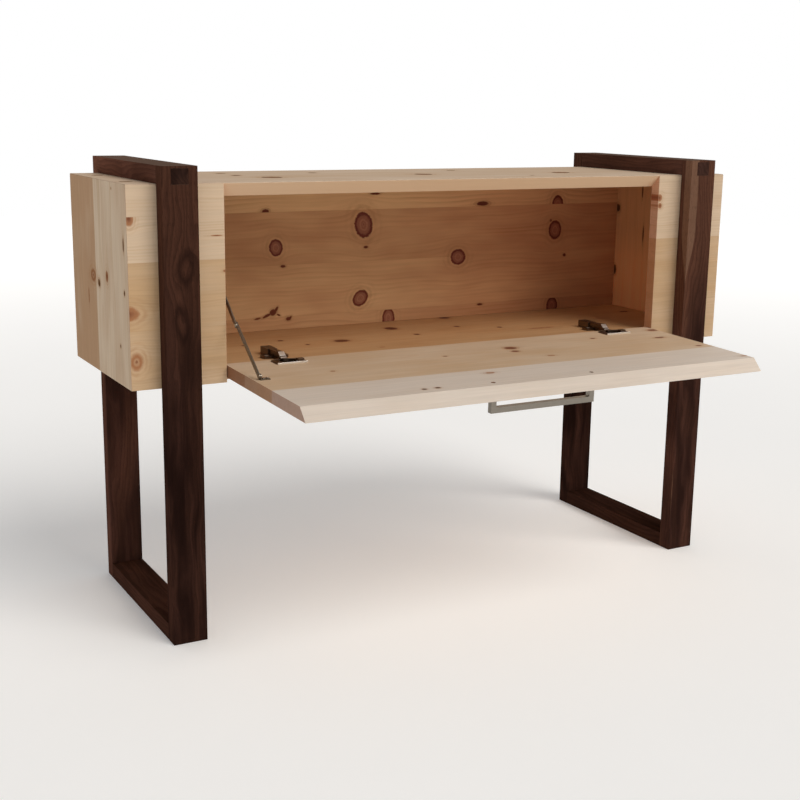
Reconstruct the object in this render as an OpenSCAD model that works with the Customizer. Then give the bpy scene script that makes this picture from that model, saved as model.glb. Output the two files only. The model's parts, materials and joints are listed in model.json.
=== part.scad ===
// Sideboard: a mitred pine case carried between two loop frames, with a drop-down flap.
// Millimetres, +Z up, the front towards -Y. The origin is on the ground, midway between the
// frames and midway between their front and rear faces. The flap is drawn open.

/* [Case] */
// Length of the case
case_length = 1350; // [1150:10:1700]
// Height of the case, top to underside
case_height = 363; // [320:1:420]
// Underside of the case above the ground
case_lift = 482; // [300:1:600]
// Thickness of the case boards
board_t = 25; // [20:0.5:30]
// Thickness of the floor board
floor_t = 27; // [22:0.5:30]
// Width of each fixed front panel
front_panel_w = 180; // [140:5:220]

/* [Frames] */
// Depth of the frames, front face to rear face
frame_depth = 426; // [380:2:500]
// Width of the posts and rails, along the case
timber_w = 65; // [45:1:80]
// Thickness of the posts, front to rear
timber_t = 32; // [24:1:40]
// Height of the rails
rail_h = 32; // [26:1:45]
// Frames set in from the ends of the case
frame_inset = 55; // [20:1:100]
// Width of the tenons
tenon_w = 32; // [16:1:40]
// Wood left above the top rail's tenon
tenon_cover = 4; // [2:0.5:8]
// Length of the bottom rail's blind tenons
blind_tenon = 20; // [12:1:22]
// Wood left above and below a blind tenon
blind_shoulder = 6; // [4:0.5:9]

/* [Flap] */
// Thickness of the flap
flap_t = 23; // [22.5:0.5:27]
// Gap at each end of the flap
flap_end_gap = 1.5; // [1:0.1:3]
// Gap between the shut flap and the top
flap_top_gap = 1; // [1:0.1:3]
// Lower edge of the shut flap above the underside of the case
flap_foot_gap = 2; // [1:0.5:4]
// Slope of the open flap, in degrees
flap_droop = 1.5; // [0:0.1:3]
// Open flap's inner edge behind the case's front face
open_edge_in = 17; // [15:0.5:19]
// Open flap's inner edge above the underside of the case
open_edge_up = 31.5; // [30:0.5:32]
// Width of the flap's rear board
rear_board_w = 100; // [80:1:120]
// Width of the flap's middle board
middle_board_w = 122; // [100:1:130]

/* [Hinges] */
// Distance between the two hinges
hinge_spread = 760; // [500:10:860]
// Both hinges set to the right of the middle
hinge_shift = 4; // [-10:1:10]
// Outer diameter of the cup
cup_d = 35; // [34:0.5:40]
// Wall of the cup
cup_wall = 0.8; // [0.6:0.1:1.2]
// Cup's rim in from the flap's edge
cup_rim_in = 6.5; // [5.5:0.1:7]
// Length of the cup's flange, along the case
flange_w = 62; // [58:1:70]
// Width of the flange behind the cup's middle
flange_behind = 15; // [12:0.5:17]
// Width of the flange ahead of the cup's middle
flange_ahead = 20.5; // [18:0.5:26]
// Thickness of the flange
flange_t = 2; // [1.2:0.1:2.4]
// Distance between the two cup screws
cup_screw_spread = 45; // [43:0.5:50]
// Cup screws ahead of the cup's middle
cup_screw_ahead = 9.5; // [6:0.5:12]
// Diameter of the pivot pin
pin_d = 3; // [2:0.1:3.2]
// Radius of the nose round the pin
eye_r = 2.6; // [2.2:0.1:2.8]
// Width of the nose
nose_w = 11; // [8:0.5:11]
// Thickness of the nose's level part
nose_t = 4.5; // [3:0.1:5]
// Width of the arm at its front
arm_front_w = 14; // [12:0.5:16]
// Width of the arm at its rear
arm_rear_w = 20; // [18:0.5:24]
// Length of the arm
arm_length = 78; // [70:1:90]
// Length of the arm's wide rear part
arm_rear_length = 36; // [30:1:38]
// Height of the arm's top above the floor board
arm_rise = 15; // [14:0.5:18]
// Extra height of the arm's front lip
lip_rise = 2; // [1:0.5:3]
// Thickness of the mounting plate
plate_t = 5; // [4:0.5:6]
// Length of the mounting plate's wings, end to end
wing_w = 52; // [46:1:60]
// Width of the wings, front to rear
wing_depth = 22; // [18:1:24]
// Distance between the two plate screws
plate_screw_spread = 32; // [30:1:34]

/* [Handle] */
// Length of the handle
handle_w = 227; // [120:1:320]
// Side of the handle's square bar
handle_bar = 11; // [8:0.5:14]
// Handle's reach from the flap's face
handle_reach = 33; // [25:1:40]
// Handle's middle from the flap's far edge
handle_edge = 43; // [39:0.5:60]
// Diameter of the handle screws
handle_screw_d = 4; // [3:0.5:5]

/* [Stay] */
// Lower arm's left face in from the opening's end
stay_in = 10.6; // [9:0.1:14]
// Thickness of the stay's flat metal
strap_t = 2; // [1.5:0.1:2.5]
// Width of the stay's arms
strap_w = 9; // [8:0.5:10]
// Gap between the parts that turn against each other
strap_gap = 0.5; // [0.3:0.1:0.8]
// Flap pivot's distance from the flap's inner edge
stay_foot_out = 141; // [137:1:143]
// Flap pivot above the flap's inner face
stay_foot_up = 6.5; // [6:0.5:8]
// Wall pivot behind the front panel
stay_wall_in = 6; // [5:0.5:8]
// Wall pivot above the underside of the case
stay_wall_up = 156; // [150:1:160]
// Length of the upper arm between its pivots
upper_arm_length = 72; // [68:0.5:74]
// Angle between the upper arm and the line of the pivots
knuckle_angle = 2.5; // [1:0.5:4]
// Shortest distance from the flap pivot to the rivet in the slot
slot_start = 81; // [78:1:84]
// Diameter of the rivets
rivet_d = 3.6; // [3:0.1:4]
// Length of the flap bracket's foot, along the case
foot_w = 18; // [14:1:24]
// Width of the flap bracket's foot
foot_depth = 12; // [10:0.5:16]
// Width of the wall bracket on the panel
wall_plate_w = 30; // [26:1:40]
// Height of the wall bracket
wall_plate_h = 26; // [24:1:34]

/* [Hidden] */
$fn = 64;

// Clearance round a part that is seated in another, and of a pin that turns in its eye.
seat_gap = 0.1;
run_gap = 0.05;
// Overlap that lets a cut pass cleanly through a face.
past = 1;

// Heights and depths that the case and the frames share.
case_top_z = case_lift + case_height;
frame_top_z = case_top_z + rail_h;
front_y = -frame_depth / 2;
rear_y = frame_depth / 2;
case_front_y = front_y + timber_t;
case_rear_y = rear_y - timber_t;
end_x = case_length / 2;
opening_x = end_x - front_panel_w;
frame_outer_x = end_x - frame_inset;
frame_mid_x = frame_outer_x - timber_w / 2;
floor_top_z = case_lift + floor_t;

// The flap's inner lower edge, open and shut, as [y, z], and the pivot that turns one onto the other.
turn = 90 + flap_droop;
open_edge = [case_front_y + open_edge_in, case_lift + open_edge_up];
shut_edge = [case_front_y + flap_t, case_lift + flap_foot_gap];
chord = shut_edge - open_edge;
pin_at = (open_edge + shut_edge) / 2 + [chord[1], -chord[0]] / (2 * tan(turn / 2));

// Distances on the flap: out from its inner edge, and deep into it from its inner face.
flap_out_y = -cos(flap_droop);
flap_out_z = -sin(flap_droop);
pin_out = (pin_at - open_edge) * [flap_out_y, flap_out_z];
pin_deep = (pin_at - open_edge) * [-flap_out_z, flap_out_y];
flap_x = opening_x - flap_end_gap;
flap_length = case_height - flap_foot_gap - flap_top_gap;
flap_bevel = flap_t;
rear_seam = rear_board_w;
front_seam = rear_board_w + middle_board_w;

// The floor board stands back between the front panels, clear of the flap's turning edge.
edge_swing = norm(pin_at - open_edge);
swing_gap = 1.1;
floor_front_y = pin_at[0] + edge_swing + swing_gap;

// Hinge cup, flange and nose.
cup_r = cup_d / 2;
cup_mid = cup_rim_in + cup_r;
cup_bore_r = cup_r - cup_wall;
nose_room = 1;
cup_floor_room = 0.6;
cup_deep = pin_deep + eye_r + cup_floor_room + cup_wall;
flange_corner = 5;
cheek_t = 2;
cheek_gap = 0.3;
cheek_r = 4;
nose_z = open_edge[1] + flange_t + nose_room;
arm_front_y = shut_edge[0] + flange_t + nose_room;
arm_rear_y = arm_front_y + arm_length;
arm_step_y = arm_rear_y - arm_rear_length;
arm_top_z = floor_top_z + arm_rise;
plate_top_z = floor_top_z + plate_t;
lip_depth = 8;
lip_slope = 6;
arm_chin = 1;
plate_front_gap = 6;
skirt_wall = 2;
rail_w = arm_rear_w - 2 * skirt_wall;
wing_shift = 9;
wing_mid_y = arm_step_y - wing_shift;
wing_corner = 4;
skirt_gap = 1.5;
hinge_xs = [hinge_shift - hinge_spread / 2, hinge_shift + hinge_spread / 2];

// Screws, as shank diameter, head diameter, head height and length under the head.
small_screw = [3.5, 7, 2, 12];
plate_screw = [4, 8.6, 2.4, 14];
arm_screw = [4, 7, 2, 8];
wall_screw = [3.5, 7, 1.6, 15];
foot_screw = [3, 5.6, 1.4, 10];
foot_screw_shares = [0.38, 0.8];
handle_head_ratio = 2.1;
handle_head_d = handle_screw_d * handle_head_ratio;
handle_head_h = 2.4;
handle_thread = 10;
arm_screw_front = 26;
arm_screw_rear = 18;

// Handle, measured out along the flap.
handle_out = flap_length - handle_edge;

// Stay: its layers along x, from the wall bracket's ear to the flap bracket's ear.
lower_x0 = -opening_x + stay_in;
upper_x0 = lower_x0 - strap_gap - strap_t;
ear_x0 = upper_x0 - strap_gap - strap_t;
flap_ear_x0 = lower_x0 + strap_t + strap_gap;
rivet_r = rivet_d / 2;
rivet_head_r = 3.2;
rivet_head_t = 1.2;
stub = 0.2;
slot_end_room = 7;
slot_play = 0.5;
slot_ease = 0.1;
boss_extra = 0.3;
bracket_relief = 0.6;
wall_at = [case_front_y + board_t + stay_wall_in, case_lift + stay_wall_up];
foot_at = flap_point(stay_foot_out, -stay_foot_up);
upper_angle = atan2(foot_at[1] - wall_at[1], foot_at[0] - wall_at[0]) + knuckle_angle;
knuckle_at = wall_at + upper_arm_length * [cos(upper_angle), sin(upper_angle)];
lower_arm_length = norm(knuckle_at - foot_at);

walnut = [0.20, 0.12, 0.09];
pine = [0.76, 0.62, 0.46];
pine_light = [0.82, 0.73, 0.60];
nickel = [0.62, 0.60, 0.56];
steel = [0.72, 0.72, 0.72];

// A point given on the flap, as [y, z] in the open position.
function flap_point(out, deep) =
    open_edge + out * [flap_out_y, flap_out_z] + deep * [-flap_out_z, flap_out_y];

// A box between two opposite corners.
module block(low, high) {
    translate(low) cube(high - low);
}

// An outline of [y, z] points, drawn out along x.
module along_x(x_low, x_high, outline) {
    translate([x_low, 0, 0])
        rotate([90, 0, 90])
            linear_extrude(x_high - x_low)
                polygon(outline);
}

// An outline of [x, z] points, drawn out along y.
module along_y(y_low, y_high, outline) {
    translate([0, y_high, 0])
        rotate([90, 0, 0])
            linear_extrude(y_high - y_low)
                polygon(outline);
}

// An outline of [x, y] points, drawn out along z.
module along_z(z_low, z_high, outline) {
    translate([0, 0, z_low])
        linear_extrude(z_high - z_low)
            polygon(outline);
}

// A round bar along x, centred on a [y, z] point.
module bar_x(x_low, x_high, at, radius) {
    translate([x_low, at[0], at[1]])
        rotate([0, 90, 0])
            cylinder(h = x_high - x_low, r = radius);
}

// Places what is drawn with the flap's inner edge as origin, inner face up, outwards towards -y.
module on_flap() {
    translate([0, open_edge[0], open_edge[1]])
        rotate([flap_droop, 0, 0])
            children();
}

// A countersunk screw pointing down, its flat head's top at z = 0.
module countersunk(screw) {
    translate([0, 0, -screw[2]])
        cylinder(h = screw[2], d1 = screw[0], d2 = screw[1]);
    translate([0, 0, -screw[3]])
        cylinder(h = screw[3] - screw[2], d = screw[0]);
}

// The hole that a countersunk screw is seated in.
module countersink(screw) {
    translate([0, 0, -screw[2] - seat_gap])
        cylinder(h = screw[2] + seat_gap, d1 = screw[0] + 2 * seat_gap, d2 = screw[1] + 4 * seat_gap);
    translate([0, 0, -seat_gap])
        cylinder(h = past, d = screw[1] + 4 * seat_gap);
    translate([0, 0, -screw[3] - seat_gap])
        cylinder(h = screw[3], d = screw[0] + 2 * seat_gap);
}

// A pan-head screw pointing down, its head standing on z = 0.
module pan_head(screw) {
    cylinder(h = screw[2], d = screw[1]);
    translate([0, 0, -screw[3]])
        cylinder(h = screw[3] + screw[2] / 2, d = screw[0]);
}

// The straight hole of a pan-head screw.
module pan_hole(screw) {
    translate([0, 0, -screw[3] - seat_gap])
        cylinder(h = screw[3] + seat_gap + past, d = screw[0] + 2 * seat_gap);
}

// One post of a frame. The side is -1 for a front post and 1 for a rear post.
module post(mid_x, side) {
    y_low = side < 0 ? front_y : case_rear_y;
    color(walnut)
        difference() {
            block([mid_x - timber_w / 2, y_low, 0], [mid_x + timber_w / 2, y_low + timber_t, frame_top_z]);
            block([mid_x - tenon_w / 2, y_low - past, case_top_z],
                  [mid_x + tenon_w / 2, y_low + timber_t + past, frame_top_z - tenon_cover]);
            y_inner = side < 0 ? case_front_y : case_rear_y;
            block([mid_x - tenon_w / 2, y_inner - blind_tenon, blind_shoulder],
                  [mid_x + tenon_w / 2, y_inner + blind_tenon, rail_h - blind_shoulder]);
        }
}

// The top rail, with tenons that pass through both posts.
module top_rail(mid_x) {
    color(walnut) {
        block([mid_x - timber_w / 2, case_front_y, case_top_z],
              [mid_x + timber_w / 2, case_rear_y, frame_top_z]);
        block([mid_x - tenon_w / 2, front_y, case_top_z],
              [mid_x + tenon_w / 2, rear_y, frame_top_z - tenon_cover]);
    }
}

// The bottom rail, with blind tenons.
module bottom_rail(mid_x) {
    color(walnut) {
        block([mid_x - timber_w / 2, case_front_y, 0], [mid_x + timber_w / 2, case_rear_y, rail_h]);
        block([mid_x - tenon_w / 2, case_front_y - blind_tenon, blind_shoulder],
              [mid_x + tenon_w / 2, case_rear_y + blind_tenon, rail_h - blind_shoulder]);
    }
}

// The top board, mitred at both ends and along its front edge.
module case_top() {
    under_z = case_top_z - board_t;
    color(pine)
        intersection() {
            along_x(-end_x, end_x,
                    [[case_front_y, case_top_z], [case_rear_y, case_top_z],
                     [case_rear_y, under_z], [case_front_y + board_t, under_z]]);
            along_y(case_front_y, case_rear_y,
                    [[-end_x, case_top_z], [end_x, case_top_z],
                     [end_x - board_t, under_z], [board_t - end_x, under_z]]);
        }
}

// The floor board, let in between the ends, with the recess and screw holes of its front half.
module case_floor() {
    inner_x = end_x - board_t;
    color(pine)
        difference() {
            block([-inner_x, case_front_y + board_t, case_lift], [inner_x, case_rear_y, floor_top_z]);
            block([-opening_x, case_front_y, case_lift - past], [opening_x, floor_front_y, floor_top_z + past]);
            for (x = hinge_xs)
                plate_screw_places(x) countersink(plate_screw);
        }
}

// The back, let in between the ends, the top and the floor.
module case_back() {
    inner_x = end_x - board_t;
    color(pine)
        block([-inner_x, case_rear_y - board_t, floor_top_z],
              [inner_x, case_rear_y, case_top_z - board_t]);
}

// An end of the case, mitred to the top and to the front panel. The side is -1 for the left end.
module case_end(side) {
    color(pine_light)
        mirror([side < 0 ? 1 : 0, 0, 0])
            intersection() {
                along_y(case_front_y, case_rear_y,
                        [[end_x, case_lift], [end_x, case_top_z],
                         [end_x - board_t, case_top_z - board_t], [end_x - board_t, case_lift]]);
                along_z(case_lift, case_top_z,
                        [[end_x, case_front_y], [end_x, case_rear_y],
                         [end_x - board_t, case_rear_y], [end_x - board_t, case_front_y + board_t]]);
            }
}

// A fixed front panel, mitred to the top and to the end of the case.
module front_panel(side) {
    color(pine_light)
        mirror([side < 0 ? 1 : 0, 0, 0])
            intersection() {
                along_x(opening_x, end_x,
                        [[case_front_y, case_lift], [case_front_y, case_top_z],
                         [case_front_y + board_t, case_top_z - board_t], [case_front_y + board_t, case_lift]]);
                along_z(case_lift, case_top_z,
                        [[end_x, case_front_y], [end_x - board_t, case_front_y + board_t],
                         [opening_x, case_front_y + board_t], [opening_x, case_front_y]]);
            }
}

// The left front panel, drilled for the screws of the stay's wall bracket.
module left_front_panel() {
    color(pine_light)
        difference() {
            front_panel(-1);
            wall_screw_places() pan_hole(wall_screw);
        }
}

// A stretch of the flap between two distances from its inner edge, in the flap's own position.
module flap_stretch(from_out, to_out) {
    along_x(-flap_x, flap_x, [[-from_out, 0], [-from_out, -flap_t], [-to_out, -flap_t], [-to_out, 0]]);
}

// The flap's rear board, bored for both hinge cups.
module flap_rear_board() {
    color(pine_light)
        on_flap()
            difference() {
                flap_stretch(0, rear_seam);
                for (x = hinge_xs) {
                    translate([x, -cup_mid, -cup_deep - seat_gap])
                        cylinder(h = cup_deep + seat_gap + past, r = cup_r + seat_gap);
                    cup_screw_places(x) countersink(small_screw);
                }
            }
}

// The flap's middle board, with the holes of the stay's foot.
module flap_middle_board() {
    color(pine_light)
        on_flap()
            difference() {
                flap_stretch(rear_seam, front_seam);
                foot_screw_places() pan_hole(foot_screw);
            }
}

// The flap's front board, with its far edge cut back to pass under the top.
module flap_front_board() {
    color(pine_light)
        on_flap()
            difference() {
                along_x(-flap_x, flap_x,
                        [[-front_seam, 0], [-front_seam, -flap_t],
                         [-flap_length, -flap_t], [flap_bevel - flap_length, 0]]);
                handle_screw_places() {
                    translate([0, 0, -flap_t - past])
                        cylinder(h = flap_t + 2 * past, d = handle_screw_d + 2 * seat_gap);
                    translate([0, 0, -handle_head_h - seat_gap])
                        cylinder(h = handle_head_h + seat_gap + past, d = handle_head_d + 2 * seat_gap);
                }
            }
}

// The places of the two handle screws, on the flap's inner face.
module handle_screw_places() {
    for (side = [-1, 1])
        translate([side * (handle_w - handle_bar) / 2, -handle_out, 0])
            children();
}

// The handle, a square bar on two legs, drilled for its screws.
module handle() {
    near = -handle_out - handle_bar / 2;
    far_z = -flap_t - handle_reach;
    color(nickel)
        on_flap()
            difference() {
                block([-handle_w / 2, near, far_z], [handle_w / 2, near + handle_bar, -flap_t]);
                block([handle_bar - handle_w / 2, near - past, far_z + handle_bar],
                      [handle_w / 2 - handle_bar, near + handle_bar + past, past - flap_t]);
                handle_screw_places()
                    translate([0, 0, -flap_t - handle_thread - seat_gap])
                        cylinder(h = handle_thread + seat_gap + past, d = handle_screw_d + 2 * seat_gap);
            }
}

// The handle's two screws, their heads let in flush with the flap's inner face.
module handle_screws() {
    color(steel)
        on_flap()
            handle_screw_places() {
                translate([0, 0, -flap_t - handle_thread])
                    cylinder(h = flap_t + handle_thread - handle_head_h / 2, d = handle_screw_d);
                translate([0, 0, -handle_head_h])
                    cylinder(h = handle_head_h, d = handle_head_d);
            }
}

// The places of one hinge's cup screws, on top of its flange.
module cup_screw_places(x) {
    for (side = [-1, 1])
        translate([x + side * cup_screw_spread / 2, -cup_mid - cup_screw_ahead, flange_t])
            children();
}

// The outline of the flange, a plate with round corners at its front.
module flange_outline() {
    back = flange_behind;
    front = -flange_ahead;
    half = flange_w / 2;
    difference() {
        polygon([[-half, back], [half, back], [half, front], [-half, front]]);
        for (side = [-1, 1])
            translate([side * half, front])
                rotate(side < 0 ? 0 : 90)
                    difference() {
                        translate([-past, -past]) square(flange_corner + past);
                        translate([flange_corner, flange_corner]) circle(flange_corner);
                    }
    }
}

// A hinge cup with its flange, and two cheeks inside that hold the pivot pin.
module hinge_cup(x) {
    cheek_x = nose_w / 2 + cheek_gap;
    color(nickel)
        on_flap()
            difference() {
                union() {
                    translate([x, -cup_mid, 0]) {
                        translate([0, 0, -cup_deep])
                            difference() {
                                cylinder(h = cup_deep + flange_t / 2, r = cup_r);
                                translate([0, 0, cup_wall])
                                    cylinder(h = cup_deep + flange_t, r = cup_bore_r);
                            }
                        linear_extrude(flange_t)
                            difference() {
                                flange_outline();
                                circle(cup_bore_r);
                            }
                    }
                    intersection() {
                        translate([x, -cup_mid, -cup_deep])
                            cylinder(h = cup_deep, r = cup_bore_r + cup_wall / 2);
                        for (side = [-1, 1])
                            translate([x + side * (cheek_x + cheek_t / 2), 0, 0])
                                block([-cheek_t / 2, -pin_out - cheek_r, -cup_deep + cup_wall / 2],
                                      [cheek_t / 2, 0, cheek_r - pin_deep]);
                    }
                }
                cup_screw_places(x) countersink(small_screw);
                bar_x(x - cup_r, x + cup_r, [-pin_out, -pin_deep], pin_d / 2);
            }
}

// The pair of screws of one hinge cup.
module cup_screws(x) {
    color(steel) on_flap() cup_screw_places(x) countersunk(small_screw);
}

// The pivot pin of a hinge, held by the cup's cheeks.
module hinge_pin(x) {
    pin_half = nose_w / 2 + cheek_gap + cheek_t;
    color(steel)
        on_flap()
            bar_x(x - pin_half, x + pin_half, [-pin_out, -pin_deep], pin_d / 2);
}

// The fixed arm of a hinge: its body over the mounting plate and its nose down to the pin.
module hinge_arm(x) {
    nose_front = pin_at[0] - eye_r;
    nose_back = pin_at[0] + eye_r;
    lip_back = arm_front_y + lip_depth;
    color(nickel)
        difference() {
            union() {
                along_x(x - nose_w / 2, x + nose_w / 2,
                        [[nose_front, pin_at[1]], [nose_front, nose_z + nose_t],
                         [arm_front_y + past, nose_z + nose_t], [arm_front_y + past, nose_z],
                         [nose_back, nose_z], [nose_back, pin_at[1]]]);
                bar_x(x - nose_w / 2, x + nose_w / 2, pin_at, eye_r);
                along_x(x - arm_front_w / 2, x + arm_front_w / 2,
                        [[arm_front_y, plate_top_z + arm_chin], [arm_front_y, arm_top_z + lip_rise],
                         [lip_back, arm_top_z + lip_rise], [lip_back + lip_slope, arm_top_z],
                         [arm_step_y + past, arm_top_z], [arm_step_y + past, plate_top_z],
                         [arm_front_y + plate_front_gap, plate_top_z],
                         [arm_front_y + plate_front_gap, plate_top_z + arm_chin]]);
                block([x - arm_rear_w / 2, arm_step_y, floor_top_z + skirt_gap],
                      [x + arm_rear_w / 2, arm_rear_y, arm_top_z]);
            }
            block([x - rail_w / 2 - seat_gap, arm_step_y - past, floor_top_z],
                  [x + rail_w / 2 + seat_gap, arm_rear_y + past, plate_top_z]);
            block([x - arm_rear_w / 2 - past, arm_step_y - past, floor_top_z],
                  [x + arm_rear_w / 2 + past, wing_mid_y + wing_depth / 2 + seat_gap, plate_top_z]);
            bar_x(x - nose_w, x + nose_w, pin_at, pin_d / 2 + run_gap);
            arm_screw_places(x) {
                countersink(arm_screw);
                translate([0, 0, -arm_rise])
                    cylinder(h = arm_rise, d = arm_screw[0] + 2 * seat_gap);
            }
        }
}

// The places of the two screws in a hinge arm's top.
module arm_screw_places(x) {
    for (y = [arm_front_y + arm_screw_front, arm_rear_y - arm_screw_rear])
        translate([x, y, arm_top_z])
            children();
}

// The adjusting screw and the fixing screw of a hinge arm, which end in the mounting plate.
module arm_screws(x) {
    color(steel)
        arm_screw_places(x) {
            countersunk(arm_screw);
            translate([0, 0, plate_t / 2 - arm_rise])
                cylinder(h = arm_rise - plate_t / 2 - arm_screw[2], d = arm_screw[0]);
        }
}

// The mounting plate: a rail under the arm and two wings with round corners.
module hinge_plate(x) {
    color(nickel)
        difference() {
            union() {
                block([x - rail_w / 2, arm_front_y + plate_front_gap, floor_top_z],
                      [x + rail_w / 2, arm_rear_y, plate_top_z]);
                for (side = [-1, 1], end = [-1, 1])
                    translate([x + side * (wing_w / 2 - wing_corner),
                               wing_mid_y + end * (wing_depth / 2 - wing_corner), floor_top_z])
                        cylinder(h = plate_t, r = wing_corner);
                block([x - wing_w / 2 + wing_corner, wing_mid_y - wing_depth / 2, floor_top_z],
                      [x + wing_w / 2 - wing_corner, wing_mid_y + wing_depth / 2, plate_top_z]);
                block([x - wing_w / 2, wing_mid_y - wing_depth / 2 + wing_corner, floor_top_z],
                      [x + wing_w / 2, wing_mid_y + wing_depth / 2 - wing_corner, plate_top_z]);
            }
            plate_screw_places(x) countersink(plate_screw);
            arm_screw_places(x)
                translate([0, 0, plate_t / 2 - arm_rise - seat_gap])
                    cylinder(h = plate_t, d = arm_screw[0] + 2 * seat_gap);
        }
}

// The places of one mounting plate's screws.
module plate_screw_places(x) {
    for (side = [-1, 1])
        translate([x + side * plate_screw_spread / 2, wing_mid_y, plate_top_z])
            children();
}

// The pair of screws that hold a mounting plate to the floor board.
module plate_screws(x) {
    color(steel) plate_screw_places(x) countersunk(plate_screw);
}

// The places of the wall bracket's screws, pointing forwards into the panel.
module wall_screw_places() {
    panel_back_y = case_front_y + board_t;
    for (side = [-1, 1])
        translate([-opening_x - wall_plate_w / 2, panel_back_y + strap_t,
                   wall_at[1] + side * wall_plate_h / 4])
            rotate([-90, 0, 0])
                children();
}

// The stay's bracket behind the left front panel: a plate and an ear turned inwards.
module stay_wall_bracket() {
    panel_back_y = case_front_y + board_t;
    ear_r = strap_w / 2;
    color(nickel)
        difference() {
            union() {
                block([-opening_x - wall_plate_w, panel_back_y, wall_at[1] - wall_plate_h / 2],
                      [ear_x0 + strap_t, panel_back_y + strap_t, wall_at[1] + wall_plate_h / 2]);
                block([ear_x0, panel_back_y + bracket_relief, wall_at[1] - ear_r],
                      [ear_x0 + strap_t, wall_at[0], wall_at[1] + ear_r]);
                bar_x(ear_x0, ear_x0 + strap_t, wall_at, ear_r);
            }
            block([-opening_x - seat_gap, panel_back_y - past, wall_at[1] - wall_plate_h],
                  [ear_x0 + strap_t + past, panel_back_y + bracket_relief, wall_at[1] + wall_plate_h]);
            bar_x(ear_x0 - past, ear_x0 + strap_t + past, wall_at, rivet_r + run_gap);
            wall_screw_places() pan_hole(wall_screw);
        }
}

// The two screws of the wall bracket.
module stay_wall_screws() {
    color(steel) wall_screw_places() pan_head(wall_screw);
}

// The rivet on which the upper arm turns, flush with the arm's inner face.
module stay_wall_rivet() {
    color(steel) {
        bar_x(ear_x0 - rivet_head_t, upper_x0 + strap_t, wall_at, rivet_r);
        bar_x(ear_x0 - rivet_head_t, ear_x0, wall_at, rivet_head_r);
    }
}

// A flat arm between two [y, z] points, with a round boss at each end and the rivet holes given.
module strap(x_low, from, to, holes) {
    reach = norm(to - from);
    slope = atan2(to[1] - from[1], to[0] - from[0]);
    difference() {
        union() {
            translate([0, from[0], from[1]])
                rotate([slope, 0, 0])
                    block([x_low, 0, -strap_w / 2], [x_low + strap_t, reach, strap_w / 2]);
            bar_x(x_low, x_low + strap_t, from, strap_w / 2 + boss_extra);
            bar_x(x_low, x_low + strap_t, to, strap_w / 2 + boss_extra);
        }
        for (at = holes)
            bar_x(x_low - past, x_low + strap_t + past, at, rivet_r + run_gap);
    }
}

// The upper arm, from the wall bracket to the knuckle.
module stay_upper_arm() {
    color(nickel) strap(upper_x0, wall_at, knuckle_at, [wall_at, knuckle_at]);
}

// The rivet fixed in the upper arm, which follows the slot beside it.
module stay_knuckle_rivet() {
    color(steel) {
        bar_x(upper_x0 - rivet_head_t, upper_x0 + strap_t + stub, knuckle_at, rivet_r);
        bar_x(upper_x0 - rivet_head_t, upper_x0, knuckle_at, rivet_head_r);
    }
}

// The lower arm, from the flap to just past the knuckle, with the slot that the rivet follows.
module stay_lower_arm() {
    slope = atan2(knuckle_at[1] - foot_at[1], knuckle_at[0] - foot_at[0]);
    tip = foot_at + (lower_arm_length + slot_end_room - strap_w / 2) * [cos(slope), sin(slope)];
    start = foot_at + slot_start * [cos(slope), sin(slope)];
    half = rivet_r + slot_play;
    color(nickel)
        difference() {
            strap(lower_x0, foot_at, tip, [foot_at]);
            bar_x(lower_x0 - past, lower_x0 + strap_t + past, start, half);
            bar_x(lower_x0 - past, lower_x0 + strap_t + past, knuckle_at, half);
            translate([0, start[0], start[1]])
                rotate([slope, 0, 0])
                    block([lower_x0 - past, 0, slot_ease - half],
                          [lower_x0 + strap_t + past, lower_arm_length - slot_start, half - slot_ease]);
        }
}

// The places of the flap bracket's screws, on top of its foot.
module foot_screw_places() {
    for (share = foot_screw_shares)
        translate([flap_ear_x0 + share * foot_w, -stay_foot_out, strap_t])
            children();
}

// The stay's bracket on the flap: a foot and an ear turned up.
module stay_flap_bracket() {
    color(nickel)
        on_flap()
            difference() {
                union() {
                    block([flap_ear_x0, -stay_foot_out - foot_depth / 2, 0],
                          [flap_ear_x0 + foot_w, foot_depth / 2 - stay_foot_out, strap_t]);
                    block([flap_ear_x0, -stay_foot_out - strap_w / 2, 0],
                          [flap_ear_x0 + strap_t, strap_w / 2 - stay_foot_out, stay_foot_up]);
                    bar_x(flap_ear_x0, flap_ear_x0 + strap_t, [-stay_foot_out, stay_foot_up], strap_w / 2);
                }
                bar_x(flap_ear_x0 - past, flap_ear_x0 + strap_t + past,
                      [-stay_foot_out, stay_foot_up], rivet_r + run_gap);
                foot_screw_places() pan_hole(foot_screw);
            }
}

// The two screws of the flap bracket.
module stay_flap_screws() {
    color(steel) on_flap() foot_screw_places() pan_head(foot_screw);
}

// The rivet on which the lower arm turns, flush with the arm's outer face.
module stay_flap_rivet() {
    ear_end = flap_ear_x0 + strap_t;
    color(steel) {
        bar_x(lower_x0, ear_end + rivet_head_t, foot_at, rivet_r);
        bar_x(ear_end, ear_end + rivet_head_t, foot_at, rivet_head_r);
    }
}

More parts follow.
